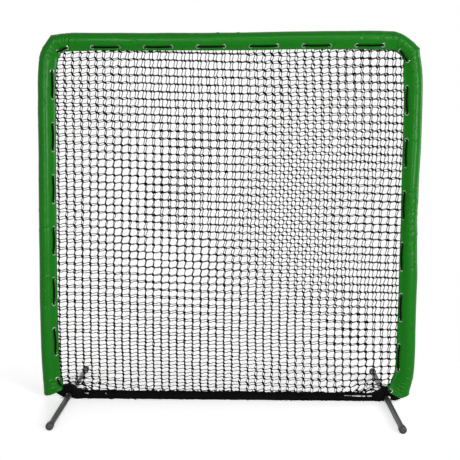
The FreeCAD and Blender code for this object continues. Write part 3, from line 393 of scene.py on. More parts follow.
def on_frame(along):
    """The tube's middle and the outward way, both as (across, up), at a distance along."""
    if along < LEFT_BEND_START:
        return (-HALF_WIDTH, FOOT_BEND + along), (-1.0, 0.0)
    if along < TOP_START:
        turn = (along - LEFT_BEND_START) / BEND
        out = (-math.cos(turn), math.sin(turn))
        return (-BEND_ACROSS + BEND * out[0], TOP_BEND + BEND * out[1]), out
    if along < RIGHT_BEND_START:
        return (-BEND_ACROSS + along - TOP_START, TOP_LEVEL), (0.0, 1.0)
    if along < RIGHT_START:
        turn = (along - RIGHT_BEND_START) / BEND
        out = (math.sin(turn), math.cos(turn))
        return (BEND_ACROSS + BEND * out[0], TOP_BEND + BEND * out[1]), out
    if along < FOOT_START:
        return (HALF_WIDTH, TOP_BEND - (along - RIGHT_START)), (1.0, 0.0)
    turn = (along - FOOT_START) / BEND
    out = (math.cos(turn), -math.sin(turn))
    return (BEND_ACROSS + BEND * out[0], FOOT_BEND + BEND * out[1]), out


def top_along(across):
    """Distance along the frame of a place on the top rail."""
    return TOP_START + BEND_ACROSS + across


print("frame line:", round(FOOT_START, 3), "m to the right foot")

# %% [markdown]
# In section a sleeve is a ring of foam inside a skin, and the skin's two edges lie flat against
# the nets as flaps. The skin is one grid of points: across the grid it goes from the front flap
# round the foam to the rear flap, and along the grid it follows the frame.
#
# Between the ring and the flap the vinyl is drawn straight, as cloth is between two things that
# hold it. A few corner points say this, and cutting the corners makes them a soft line.

# %% Section of a sleeve
SLEEVE_RADIUS = 40 * MM
SKIN = 1.5 * MM
FLAP_SLOPE = [(-31, 27), (-40.5, 17.5), (-48, 10.5), (-54, 6.8), (-59.5, 5.0)]
SOFTENING = 4
FLAP_EDGE = 59.5 * MM
FLAP_FROM = 22 * MM
RING_END = 120
POINTS_ACROSS = 74


def section():
    """Across, depth and angle of each point, from the front flap round the foam to the rear."""
    ring = [(40 * math.cos(math.radians(turn)), 40 * math.sin(math.radians(turn)))
            for turn in range(0, RING_END + 1, 5)]
    half = rounded(ring + FLAP_SLOPE, SOFTENING) * MM
    gone = np.concatenate([[0], np.cumsum(np.linalg.norm(np.diff(half, axis=0), axis=1))])
    even = np.linspace(0, gone[-1], POINTS_ACROSS // 2)
    half = np.stack([np.interp(even, gone, half[:, 0]), np.interp(even, gone, half[:, 1])], axis=1)
    for _ in range(SOFTENING):
        half[1:-1] = (half[:-2] + 2 * half[1:-1] + half[2:]) / 4
    points = np.concatenate([half[::-1] * (1, -1), half[1:]])
    return points, np.arctan2(points[:, 1], points[:, 0])


print("points across a sleeve:", len(section()[0]))

# %% [markdown]
# The sleeves sit loosely and the lace pulls them, so how far the outline and the flap's edge
# reach from the tube's middle changes from place to place. Both are given as tables in mm. Each
# run of the frame uses the measure that is natural there: a level on an upright, a distance
# across on the top, degrees in a bend. Small functions turn these to distances along the frame.

# %% Measures along the frame
def left_level(level):
    return level * MM - FOOT_BEND


def left_turn(degrees):
    return LEFT_BEND_START + BEND * math.radians(degrees)


def top_across(across):
    return top_along(across * MM)


def right_turn(degrees):
    return RIGHT_BEND_START + BEND * math.radians(degrees)


def right_level(level):
    return RIGHT_START + TOP_BEND - level * MM


def foot_turn(degrees):
    return FOOT_START + BEND * math.radians(degrees)


def table_of(*runs):
    """Distances along the frame and reaches, from lists that use each run's own measure."""
    pairs = sorted((along(place), reach * MM) for along, listed in runs for place, reach in listed)
    return np.array(pairs).T


# %% Reach of the outline and of the flaps
OUTLINE = table_of(
    (left_level, ((30, 32.5), (54, 33), (90, 35.5), (114, 37), (150, 38.5), (190, 40.5),
                  (230, 42.5), (310, 45), (390, 46), (510, 47), (590, 48), (670, 47), (790, 46.5),
                  (910, 45), (1030, 44.5), (1190, 43.5), (1310, 42.5), (1430, 41), (1550, 40),
                  (1630, 40.5), (1710, 41), (1790, 39), (1870, 38), (1910, 36), (1950, 33.5))),
    (left_turn, ((0, 30),)),
    (top_across, ((-940, 30.5), (-900, 33.5), (-700, 33), (-500, 33.5), (-380, 34.5),
                  (-220, 35.5), (-60, 36.5), (60, 39), (140, 40.5), (220, 42.5), (300, 44.5),
                  (460, 47), (540, 48.5), (700, 50.5), (780, 51.5), (860, 51.5), (900, 50.5),
                  (940, 50))),
    (right_level, ((1994, 33), (1950, 39), (1910, 42), (1870, 44), (1790, 45.5), (1670, 46),
                   (1510, 45), (1430, 42), (1350, 39), (1270, 38), (1190, 37), (1150, 34.5),
                   (1070, 35), (1030, 37), (950, 38), (870, 41), (790, 43.5), (750, 44.5),
                   (590, 43), (430, 43), (310, 44), (230, 43), (190, 41), (150, 37.5))))
FLAP_REACH = table_of(
    (left_level, ((20, 88), (60, 86), (98, 78), (135, 71), (190, 65.5), (230, 62.5), (270, 60),
                  (350, 58.5), (430, 56.5), (550, 55), (790, 55), (950, 55), (1070, 57),
                  (1350, 57.5), (1430, 59.5), (1670, 61.5), (1830, 62), (1910, 64), (1950, 70))),
    (left_turn, ((0, 78), (20, 76), (30, 80), (40, 82), (48, 77), (60, 72), (80, 71))),
    (top_across, ((-940, 73), (-900, 70), (-820, 69), (-740, 65), (-540, 64.5), (-300, 62.5),
                  (-140, 62), (60, 60), (220, 57), (300, 54.5), (460, 52.5), (700, 51),
                  (860, 52.5))),
    (right_turn, ((0, 55), (10, 57), (15, 60), (20, 66), (45, 68), (60, 66))),
    (right_level, ((1990, 66), (1930, 68), (1870, 63), (1790, 60), (1550, 59), (1470, 60.5),
                   (1390, 59), (1190, 60), (1070, 58), (870, 61), (670, 60.5), (550, 62),
                   (390, 64.5), (310, 66), (230, 68), (190, 71))),
    (foot_turn, ((0, 80.5), (10, 84), (20, 84.5), (30, 83), (40, 79.5), (50, 72), (60, 70),
                 (75, 66), (83, 47))))
print("places in the tables:", OUTLINE.shape[1], "and", FLAP_REACH.shape[1])

# %% [markdown]
# The vinyl is cut straight and can't follow a bend smoothly. Outside it makes flats with corners
# between them, inside it gathers into creases. The flats are given as the reach of the outline at
# each corner, and the outline runs straight from one corner to the next.

# %% Flats and creases at the bends
def straight_flats(angles_and_reach):
    """The outline's reach past the tube's middle at any angle, straight between its corners."""
    corners = [(math.radians(angle), BEND + reach * MM) for angle, reach in angles_and_reach]

    def reach_at(turn):
        for (one, near), (two, far) in zip(corners, corners[1:]):
            if turn <= two:
                break
        over = near * far * math.sin(two - one)
        under = near * math.sin(turn - one) + far * math.sin(two - turn)
        return over / under - BEND
    return reach_at


LEFT_FLATS = straight_flats([(0, 30), (10, 28.5), (20, 27), (29, 28.5), (38, 27), (60, 42),
                             (66, 35), (72, 32), (90, 30.5)])
RIGHT_FLATS = straight_flats([(0, 50), (5, 47), (12, 43.5), (20, 39.5), (28, 36), (36, 34),
                              (46, 35), (52, 35.5), (61, 42.5), (67, 35), (74, 31), (82, 30),
                              (90, 33)])
FOOT_FLATS = straight_flats([(0, 37.5), (12, 33.5), (20, 34.5), (30, 37.5), (36, 42), (43, 50),
                             (49, 49), (90, 40)])

# Creases at the bends: degrees round the bend, middle turn in degrees, depth in mm, width in mm
LEFT_CREASES = ((8, -120, -2.2, 5), (22, -135, -2.6, 5), (36, -115, -2.0, 4), (49, -128, -3.0, 5),
                (60, -60, 1.8, 5), (66, -120, -2.4, 4), (80, -100, -2.6, 5), (88, -70, -3.0, 4))
RIGHT_CREASES = ((6, -120, -2.0, 5), (20, -100, -2.4, 5), (34, -128, -2.6, 5), (48, -120, -3.0, 5),
                 (61, -60, 1.8, 5), (70, -130, -2.2, 4), (84, -112, -2.2, 5))
FOOT_CREASES = ((4, -120, -1.2, 6), (14, -112, -1.6, 6), (24, -120, -2.2, 7), (35, -128, -1.8, 6),
                (47, -124, -1.6, 7))
print("creases:", len(LEFT_CREASES + RIGHT_CREASES + FOOT_CREASES))

# %% [markdown]
# Creases, dents and the heads of screws are soft ridges, each a bell curve added to the skin's
# radius. They could be sculpted by hand, but a list of places and heights is easy to correct.
# Where the sleeve was pulled tight, short wrinkles lie in a row or at random.

# %% Ridges and dents in the skin
def ridge(along, angle, centre, middle, height, width, slant=0.0, span=38):
    """A soft ridge across the skin. Lengths are in mm, angles in degrees."""
    round_it = (math.degrees(angle) - middle) / span
    away = (along - centre) / (width * MM) - slant * round_it
    return height * MM * math.exp(-away * away - round_it * round_it)


def crease_list(start, creases):
    """Creases of a bend on the front, and like ones a little shifted on the rear."""
    listed = []
    for degrees, middle, height, width in creases:
        place = start + BEND * math.radians(degrees)
        listed.append((place, middle, height * 1.5, width))
        listed.append((place + 7 * MM, -middle + 8, height * 0.9, width))
    return listed


def wrinkles(seed, count, first, last, height):
    """Short random creases, slanting either way, between two distances along the frame."""
    random = np.random.default_rng(seed)
    return [(random.uniform(first, last), random.uniform(-125, -45),
             random.choice((-1, 1)) * random.uniform(0.5, 1.1) * height, random.uniform(4, 7),
             random.uniform(-2.5, 2.5), random.uniform(16, 30)) for _ in range(count)]


SCREW_HALF = 59 * MM
SPLICE_ACROSS = (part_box("splice_top")[0].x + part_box("splice_top")[1].x) / 2
SPLICE_UP = (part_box("splice_left")[0].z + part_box("splice_left")[1].z) / 2
SCREW_RIDGES = [(top_along(SPLICE_ACROSS + way * SCREW_HALF), -25, 3.4, 8) for way in (-1, 1)]
SCREW_RIDGES += [(SPLICE_UP - FOOT_BEND + way * SCREW_HALF, -30, 1.6, 9) for way in (-1, 1)]
SCREW_RIDGES += [(RIGHT_START + TOP_BEND - SPLICE_UP + way * SCREW_HALF, -30, 1.8, 9)
                 for way in (-1, 1)]
SLACK_RIDGES = [(RIGHT_START + down * MM, *shape) for down, *shape in (
    (100, -110, -2.0, 9), (160, -75, 1.6, 10), (712, -60, -1.8, 10), (748, -95, -2.6, 8),
    (790, -60, 1.6, 9), (835, -105, -2.4, 9), (880, -70, -1.8, 8), (930, -100, -2.0, 10),
    (1010, -80, 1.2, 12), (1690, -110, -1.6, 9), (1780, -80, -1.8, 8))]
SLACK_RIDGES += [(up * MM, *shape) for up, *shape in (
    (-60, -70, -2.0, 6), (-85, -110, 1.8, 6), (-48, -120, -1.8, 5), (120, -70, 1.0, 14),
    (880, -95, -1.4, 8), (1640, -120, -1.4, 9), (1760, -80, -1.5, 8), (1806, -115, -2.0, 7))]
SLACK_RIDGES += [(top_along(across * MM), *shape) for across, *shape in (
    (-884, -110, -1.8, 6), (-700, -100, -0.9, 12), (330, -105, -0.9, 12), (610, -60, 0.8, 14),
    (760, -105, -1.3, 9), (850, -75, -1.4, 8), (905, -115, -2.0, 6))]
# A row of short slanting folds on the right upright, above its splice
FOLDS, FOLD_STEP, FIRST_FOLD = 8, 38, 1266
SLACK_RIDGES += [(right_level(FIRST_FOLD - FOLD_STEP * number), -86, 3.4, 11, -1.4, 30)
                 for number in range(FOLDS)]
# Seed, number, first and last place, and height in mm of each group of wrinkles
for group in ((5, 10, right_level(1260), right_level(1010), 1.6),
              (6, 8, right_turn(70), right_level(1860), 3.6),
              (7, 14, RIGHT_START, FOOT_START, 2.2),
              (8, 7, right_level(200), foot_turn(40), 3.0),
              (9, 14, 0, LEFT_BEND_START, 2.0),
              (10, 5, left_level(40), left_level(120), 3.2),
              (11, 14, TOP_START, RIGHT_BEND_START, 1.8),
              (12, 5, left_turn(60), top_across(-880), 3.4),
              (13, 5, top_across(880), right_turn(60), 3.4)):
    SLACK_RIDGES += wrinkles(*group)
ALL_RIDGES = SCREW_RIDGES + SLACK_RIDGES
for start, creases in ((LEFT_BEND_START, LEFT_CREASES), (RIGHT_BEND_START, RIGHT_CREASES),
                       (FOOT_START, FOOT_CREASES)):
    ALL_RIDGES += crease_list(start, creases)
RIDGE_REACH = 45 * MM
SWELL, DIMPLE = 0.9 * MM, 0.4 * MM
print("ridges:", len(ALL_RIDGES))


def flats_at(along):
    """The outline's reach where the sleeve turns a corner, or None on a straight run."""
    for start, flats in ((LEFT_BEND_START, LEFT_FLATS), (RIGHT_BEND_START, RIGHT_FLATS),
                         (FOOT_START, FOOT_FLATS)):
        turn = (along - start) / BEND
        if 0 <= turn < math.pi / 2:
            return flats(turn)
    return None


def outline_at(along):
    """How far the outline reaches past the tube's middle."""
    reach = flats_at(along)
    return float(np.interp(along, *OUTLINE)) if reach is None else reach


def skin_share(along, angle, near):
    """How far the skin stands out, as a share of the section: unevenness and ridges."""
    rise = SWELL * noise.noise((along * 7, angle * 0.8, 3.1))
    rise += DIMPLE * noise.noise((along * 26, angle * 2.2, 8.4))
    for item in near:
        rise += ridge(along, angle, *item)
    return 1 + rise / SLEEVE_RADIUS


# %% [markdown]
# One builder makes all three sleeves. Their ends differ, so each sleeve brings a small function
# that moves the points near its ends: the left one is cut aslant at its foot, the right one is
# pulled round the bottom bend and ends aslant too.

# %% The sleeve builder
STATION = 4 * MM
END_ROUNDING, END_ROUNDING_SHARE = 4 * MM, 0.025
EDGE_WOBBLE = 0.8 * MM


def over_tube(across, depth, level):
    """The depth of the skin, pushed out where the left bend's tube runs behind a flap."""
    if level > FOOT_BEND or across > 0:
        return depth
    off_line = math.hypot(across + BEND_ACROSS, level - FOOT_BEND) - BEND
    return max(depth, math.sqrt(max((TUBE_RADIUS + 3.5 * MM) ** 2 - off_line ** 2, 0)))


def sleeve(name, start, end, adjust, replaced):
    """A skin along the frame with rounded-in ends, with real thickness."""
    base, angles = section()
    flap_share = np.clip((-base[:, 0] - FLAP_FROM) / (FLAP_EDGE - FLAP_FROM), 0, 1)
    stations = np.linspace(start, end, int((end - start) / STATION))
    grid = np.empty((len(stations), len(base), 3))
    for row, along in enumerate(stations):
        near = [item for item in ALL_RIDGES if abs(item[0] - along) < RIDGE_REACH]
        ends = (math.exp(-(along - start) / END_ROUNDING)
                + math.exp(-(end - along) / END_ROUNDING))
        aside = outline_at(along) - SLEEVE_RADIUS
        edge = np.interp(along, *FLAP_REACH) - EDGE_WOBBLE * noise.noise((along * 8, 9.3, 0.4))
        for column, ((across, depth), angle, share) in enumerate(zip(base, angles, flap_share)):
            grown = skin_share(along, angle, near) - END_ROUNDING_SHARE * ends
            grown = 1 + (grown - 1) * (1 - share)
            across = across * grown + aside * (1 - share) - (edge - FLAP_EDGE) * share
            place, across = adjust(along, across)
            centre, out = on_frame(place)
            x, z = centre[0] + out[0] * across, centre[1] + out[1] * across
            grid[row, column] = (x, math.copysign(over_tube(x, abs(depth * grown), z), depth), z)
    quads = grid_faces(len(stations), len(base))
    piece = piece_of(name, (grid.reshape(-1, 3), [quads.reshape(-1, 4)]), VINYL)
    skin = piece.modifiers.new("skin", "SOLIDIFY")
    skin.thickness = SKIN
    skin.offset = -1
    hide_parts(*replaced)


def stay(along, across):
    """No change near the ends."""
    return along, across


LEFT_FOOT = 24 * MM
FOOT_CUT = ((-1104, 30), (-1095, 27), (-1085, 23), (-1061, 27), (-1025, 39), (-981, 59))


def left_foot(along, across):
    """The foot's slanted hem."""
    low = max(0.0, 1 - (FOOT_BEND + along - LEFT_FOOT) / (90 * MM))
    hem = np.interp((-HALF_WIDTH - across) / MM, *np.array(FOOT_CUT).T) * MM
    return along + (hem - LEFT_FOOT) * low * low, across


FOOT_END = 62
FOOT_SLANT = ((81, 81), (89, 78), (110, 65), (127, 60), (150, 54), (166, 50), (175, 46))


def right_foot(along, across):
    """The skewed end on the bottom bend: degrees round the bend at each radius in mm."""
    turn = math.degrees((along - FOOT_START) / BEND)
    if turn > 0:
        end = np.interp((BEND + across) / MM, *np.array(FOOT_SLANT).T)
        turn *= 1 + (end / FOOT_END - 1) * turn / FOOT_END
        along = foot_turn(turn)
    return along, across


TOP_LEFT_END = top_along(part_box("cover_top")[0].x)
RIGHT_SEAM = RIGHT_BEND_START + BEND * math.radians(10.3)
RIGHT_END = foot_turn(FOOT_END)
SEAM_GAP = 0.5 * MM
sleeve("sleeve_left", LEFT_FOOT - FOOT_BEND, TOP_LEFT_END - SEAM_GAP, left_foot,
       ["cover_left", "foam_left"])
sleeve("sleeve_top", TOP_LEFT_END, RIGHT_SEAM - SEAM_GAP, stay, ["cover_top", "foam_top"])
sleeve("sleeve_right", RIGHT_SEAM, RIGHT_END, right_foot, ["cover_right", "foam_right"])

# %% [markdown]
# Brass eyelets, nickel-plated, are pressed through the flaps every six inches. Pressing rolls
# the rim over, so a ring has a round outer lip and a throat: a small profile turned on a lathe.

# %% Places of the eyelets
EYELET_STEP = 151.3 * MM
# Where the rows start: down from the top rail's middle, and across from the left upright's
LEFT_ROW_DOWN, TOP_ROW_ACROSS, RIGHT_ROW_DOWN = 184.5 * MM, 280.4 * MM, 264.9 * MM
LEFT_INSETS = (53, 44, 39, 38, 39, 41, 43, 44, 45, 46, 46.5, 48, 49)
TOP_INSETS = (49.5, 48.5, 47.5, 45.5, 44.5, 42.5, 40, 37.5, 35.5, 33.5, 32.5, 31)
RIGHT_INSETS = (46, 43.5, 41, 43, 46, 48, 50, 50, 49, 48, 52, 55.5)


def in_bend(along, inset):
    """A place on the flap in a bend, from the distance along and its inset from the tube."""
    centre, out = on_frame(along)
    return centre[0] - out[0] * inset * MM, centre[1] - out[1] * inset * MM


def eyelet_places():
    """All eyelets as (across, up), from the left foot over the top to the right foot."""
    last = len(LEFT_INSETS) - 1
    places = [(inset * MM - HALF_WIDTH, TOP_LEVEL - LEFT_ROW_DOWN - (last - step) * EYELET_STEP)
              for step, inset in enumerate(LEFT_INSETS)]
    places += [in_bend(left_turn(47), 59), in_bend(top_across(-933), 53.5)]
    places += [(-HALF_WIDTH + TOP_ROW_ACROSS + step * EYELET_STEP, TOP_LEVEL - inset * MM)
               for step, inset in enumerate(TOP_INSETS)]
    places += [in_bend(right_turn(29), 51), in_bend(right_turn(83), 50.4)]
    places += [(HALF_WIDTH - inset * MM, TOP_LEVEL - RIGHT_ROW_DOWN - step * EYELET_STEP)
               for step, inset in enumerate(RIGHT_INSETS)]
    places.append(in_bend(foot_turn(69), 43))
    return places


EYELETS = eyelet_places()
print("eyelets:", len(EYELETS))

# %% [markdown]
# Each ring lies as the vinyl lies under it, so the skin's depth is looked up at the ring's middle
# and a little to either side. The rings of points of all eyelets then make one mesh.

# %% Pressed eyelets
EYELET_PROFILE = ((6.1, 2.0), (6.4, -0.4), (7.4, -1.7), (9.6, -2.3), (11.9, -1.6), (12.8, 0.2))
EYELET_SIDES = 28


def flap_depth(along, inset):
    """How far the skin stands off the net's plane at a distance along and an inset."""
    base, _ = section()
    half = base[:POINTS_ACROSS // 2]
    share = np.clip((-half[:, 0] - FLAP_FROM) / (FLAP_EDGE - FLAP_FROM), 0, 1)
    edge = float(np.interp(along, *FLAP_REACH))
    across = (half[:, 0] + (outline_at(along) - SLEEVE_RADIUS) * (1 - share)
              - (edge - FLAP_EDGE) * share)
    low = across < -20 * MM
    order = np.argsort(across[low])
    return np.interp(-inset, across[low][order], np.abs(half[low, 1])[order])


def nearest_along(across, up):
    """The distance along the frame of a place, its inset and the outward way there."""
    tries = np.arange(-0.1, RIGHT_END, 4 * MM)
    lines = [on_frame(along) for along in tries]
    gaps = [math.hypot(across - centre[0], up - centre[1]) for centre, _ in lines]
    best = int(np.argmin(gaps))
    return tries[best], gaps[best], lines[best][1]


EYELET_SEATS = [nearest_along(*place) for place in EYELETS]


def eyelet(number, side):
    """One pressed ring on the front (-1) or rear (1) flap, lying as the flap lies."""
    (across, up), (along, inset, out) = EYELETS[number], EYELET_SEATS[number]
    level = flap_depth(along, inset)
    slope = (flap_depth(along, inset - 6 * MM) - flap_depth(along, inset + 6 * MM)) / (12 * MM)
    slope = min(slope, 1.0)
    turns = np.arange(EYELET_SIDES) * 2 * math.pi / EYELET_SIDES
    toward = out[0] * np.cos(turns) + out[1] * np.sin(turns)
    rings = [np.stack([across + radius * MM * np.cos(turns),
                       side * (level + slope * toward * radius * MM - proud * MM),
                       up + radius * MM * np.sin(turns)], axis=1)
             for radius, proud in EYELET_PROFILE]
    quads = grid_faces(len(rings), EYELET_SIDES, closed=True).reshape(-1, 4)
    return np.concatenate(rings), [quads if side < 0 else quads[:, ::-1]]


eyelets = piece_of("eyelets", joined([eyelet(number, side) for number in range(len(EYELETS))
                                      for side in (-1, 1)]), NICKEL)
rim = eyelets.modifiers.new("sheet_metal", "SOLIDIFY")
rim.thickness = 0.4 * MM

# %% [markdown]
# One lace holds it all together in a running stitch: in front from one eyelet to the next, then
# behind to the one after. It is built as a tube on a smooth line. Between two eyelets the line
# bows out a little, and at an eyelet it dips through the hole.

# %% The lace
LACE_RADIUS = 5.3 * MM
LACE_CLEAR = 1.6 * MM
LACE_TAILS = np.array([[26, 0, -40], [-34, 0, -12]]) * MM
NEAR_HOLE, PAST_HOLE, BOW = 13 * MM, 2 * MM, 5 * MM


def lace_line():
    """Corner points of the lace, cut round afterwards."""
    places = [np.array([across, 0, up]) for across, up in EYELETS]
    start, end = places[0] + LACE_TAILS[0], places[-1] + LACE_TAILS[1]
    route = [start, *places, end]
    levels = [flap_depth(along, inset) + LACE_RADIUS + LACE_CLEAR
              for along, inset, _ in EYELET_SEATS]
    levels = [np.array([0, -level, 0]) for level in (levels[0], *levels, levels[-1])]
    line = [start + levels[0] * 1.6]
    for number in range(1, len(route) - 1):
        here, before, after = route[number], route[number - 1], route[number + 1]
        side = 1 if number % 2 else -1
        front = levels[number] * side
        back, ahead = unit(before - here), unit(after - here)
        line += [here + back * NEAR_HOLE + front * 1.1, here + back * PAST_HOLE + front,
                 here + ahead * PAST_HOLE - front, here + ahead * NEAR_HOLE - front * 1.1]
        if number < len(route) - 2:
            middle = (here + after) / 2
            inward = np.array([-np.sign(middle[0]), 0, 0] if abs(ahead[0]) < 0.5 else [0, 0, -0.4])
            line.append(middle - side * (levels[number] + levels[number + 1]) * 0.55
                        + inward * BOW)
    line.append(end + levels[-1] * 1.4)
    return rounded(line, 2)


lace = piece_of("lace", tubes(lace_line(), LACE_RADIUS, 10), CORD)
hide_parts("pad_lace")

# %% [markdown]
# The nets. Each one is a grid of square meshes of about 1 3/4 inches, tied from black twine.
# Every knot is a small slanted barrel, and the twine comes in at its upper end and leaves at its
# lower end, so the strands between knots lean a little. Two such nets hang one behind the other
# and drift in and out of step, which gives the screen its shimmering pattern. A picture of a net
# on a flat sheet would be quicker, but from the side it would show. First come the net's edges,
# which follow the inside of the frame.

# %% Edges of the net
NET_EDGE = HALF_WIDTH - TUBE_RADIUS - 1.5 * MM
NET_BEND = BEND - TUBE_RADIUS - 1.5 * MM
HEM_LEVEL = RAIL_LEVEL + 20.5 * MM
HEM_HALF = 862 * MM
CORNER_LEVEL = 90 * MM
CORNER_ACROSS = 915 * MM


def edge_across(level):
    """How far the net reaches to either side at a level."""
    if level > TOP_BEND:
        return BEND_ACROSS + math.sqrt(max(NET_BEND ** 2 - (level - TOP_BEND) ** 2, 0))
    if level < CORNER_LEVEL:
        return float(np.interp(level, (HEM_LEVEL, CORNER_LEVEL), (HEM_HALF, CORNER_ACROSS)))
    if level < FOOT_BEND:
        return BEND_ACROSS + math.sqrt(max(NET_BEND ** 2 - (level - FOOT_BEND) ** 2, 0))
    return NET_EDGE


def edge_levels(across):
    """Lowest and highest level of the net at a place across."""
    beyond = abs(across) - BEND_ACROSS
    rise = math.sqrt(max(NET_BEND ** 2 - beyond ** 2, 0)) if beyond > 0 else NET_BEND
    low = float(np.interp(abs(across), (HEM_HALF, CORNER_ACROSS), (HEM_LEVEL, CORNER_LEVEL)))
    if beyond > 0:
        low = max(low, FOOT_BEND - rise)
    return low, TOP_BEND + rise


print("net:", round(2 * NET_EDGE, 3), "by", round(np.ptp(edge_levels(0)), 3))

# %% [markdown]
# A net is tubes: one for each row and column of twine, with a short fat tube for each knot. The
# knots' places come first: a regular grid, moved by a slow drift and a small jitter. Towards
# the foot the rows are squeezed together, most of all in the corners, where spare net gathers.

# %% Knots and twine
MESH_ACROSS = 46.3 * MM
MESH_DOWN = 45.0 * MM
COLUMNS = 49
FIRST_ROW = TOP_LEVEL + 54 * MM
ROWS = 54
SQUEEZE_FROM, SQUEEZE_TO, SQUEEZE_OVER = 150 * MM, 108 * MM, 150 * MM
MIDDLE_SQUEEZE = 0.2
CORNER_FROM, CORNER_OVER = 640 * MM, 210 * MM
CROWD_OVER = 90 * MM
JITTER = 1.2 * MM
CROWD_ASIDE, CROWD_DOWN = 5 * MM, 4 * MM
BILLOW = 2.2 * MM
TWINE_RADIUS = 2.2 * MM
KNOT_HALF = 7.0 * MM
KNOT_SHAPE = ((-1.0, 0.5), (-0.72, 1.0), (-0.3, 0.86), (0.1, 1.06), (0.45, 0.88), (0.75, 1.0),
              (1.0, 0.5))
KNOT_RADIUS = 6.3 * MM
LEAN = 4.3 * MM
UNDER_FLAP = 38 * MM


def knot_grid(seed, shift, depth):
    """Places of all the knots of one net, as rows of columns of points."""
    across = (np.arange(COLUMNS) - (COLUMNS - 1) / 2) * MESH_ACROSS
    grid = np.zeros((ROWS, COLUMNS, 3))
    grid[..., 0], grid[..., 2] = np.meshgrid(across, FIRST_ROW - np.arange(ROWS) * MESH_DOWN)
    shape = grid.shape[:2]
    even = grid.copy()
    for _ in range(4):
        aside, down = shift(grid[..., 0], grid[..., 2])
        grid[..., 0] = even[..., 0] + aside * MESH_ACROSS
        grid[..., 2] = even[..., 2] - down * MESH_DOWN
    corner = np.clip((np.abs(grid[..., 0]) - CORNER_FROM) / CORNER_OVER, 0, 1)
    below = np.maximum(SQUEEZE_FROM - grid[..., 2], 0)
    squeezed = SQUEEZE_FROM - SQUEEZE_TO * np.tanh(below / SQUEEZE_OVER)
    share = MIDDLE_SQUEEZE + (1 - MIDDLE_SQUEEZE) * corner
    grid[..., 2] = np.where(below > 0, grid[..., 2] * (1 - share) + squeezed * share, grid[..., 2])
    crowd = np.clip(below / CROWD_OVER, 0, 1) * (0.25 + 0.75 * corner)
    grid[..., 0] += spread(seed + 2, shape, 0) * (JITTER + CROWD_ASIDE * crowd)
    grid[..., 2] += spread(seed + 3, shape, 0) * (JITTER + CROWD_DOWN * crowd)
    free = np.clip((NET_EDGE - UNDER_FLAP / 3 - np.abs(grid[..., 0])) / (60 * MM), 0, 1)
    grid[..., 1] = depth + spread(seed + 4, shape, 10) * BILLOW * free
    return grid, crowd


def strands(knots, lean, seed, slack):
    """Lines of twine through rows of knots: in at a knot's upper end, out at its lower end."""
    into, out = knots - lean, knots + lean
    gap = into[:, 1:] - out[:, :-1]
    line = np.empty((*knots.shape[:2], 4, 3))
    line[:, :, 0], line[:, :, 1] = into, out
    for slot, share in ((2, 0.36), (3, 0.7)):
        loose = np.random.default_rng(seed + slot).normal(size=gap.shape)
        line[:, :-1, slot] = out[:, :-1] + gap * share + loose * slack[:, :-1, None]
        line[:, -1, slot] = out[:, -1]
    return line


def clipped(points, inside, ends):
    """The part of a strand between its first and last knot inside, with its two ends."""
    found = np.flatnonzero(inside)
    if len(found) < 2:
        return None
    first, last = found[0], found[-1]
    kept = points[first:last + 1].reshape(-1, 3)[:-2]
    kept[:, 2] = np.maximum(kept[:, 2], HEM_LEVEL)
    low, high = ends(kept[0], kept[-1])
    return np.concatenate([low[None], kept, high[None]])


def net(name, seed, shift, depth, replaced):
    """One whole net: rows, columns and knots."""
    knots, crowd = knot_grid(seed, shift, depth)
    inner = np.array([[abs(x) < edge_across(z) - 6 * MM and z > edge_levels(x)[0] + 5 * MM
                       and z < edge_levels(x)[1] - 5 * MM for x, _, z in row] for row in knots])
    free = np.array([[abs(x) < edge_across(z) - UNDER_FLAP * 0.85
                      and z < edge_levels(x)[1] - UNDER_FLAP * 0.85 for x, _, z in row]
                     for row in knots])
    lean = np.array([LEAN, 0, -LEAN])
    slack = (1.0 + 2.6 * crowd) * MM
    shapes = []

    def row_ends(first, last):
        return (np.array([-edge_across(first[2]), first[1], first[2]]),
                np.array([edge_across(last[2]), last[1], last[2]]))

    def column_ends(first, last):
        return (np.array([first[0], first[1], edge_levels(first[0])[1]]),
                np.array([last[0], last[1], edge_levels(last[0])[0]]))

    rows = strands(knots, lean, seed + 10, slack)
    columns = strands(knots.transpose(1, 0, 2), lean, seed + 20, slack.T)
    for lines, insides, ends in ((rows, inner, row_ends), (columns, inner.T, column_ends)):
        for points, inside in zip(lines, insides):
            line = clipped(points, inside, ends)
            if line is not None:
                shapes.append(tubes(line, TWINE_RADIUS, 5))
    centres = knots[inner & free]
    random = np.random.default_rng(seed + 30)
    tilt = -math.pi / 4 + random.normal(size=len(centres)) * 0.2
    size = random.uniform(0.88, 1.15, len(centres))
    axis = np.stack([np.cos(tilt), random.normal(size=len(centres)) * 0.15, np.sin(tilt)], axis=1)
    steps, radii = np.array(KNOT_SHAPE).T
    halves = unit(axis)[:, None] * (steps[:, None] * KNOT_HALF) * size[:, None, None]
    paths = centres[:, None] + halves
    shapes.append(tubes(paths, radii * KNOT_RADIUS * size[:, None], 6))
    piece = piece_of(name, joined(shapes), TWINE)
    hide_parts(replaced)


# %% [markdown]
# No net hangs quite evenly. How far each one has drifted from even meshes was read from the
# picture: nine places across and nine levels, in hundredths of a mesh, aside and down. Where the
# two nets drift together the screen looks open, and where they part it looks dense.

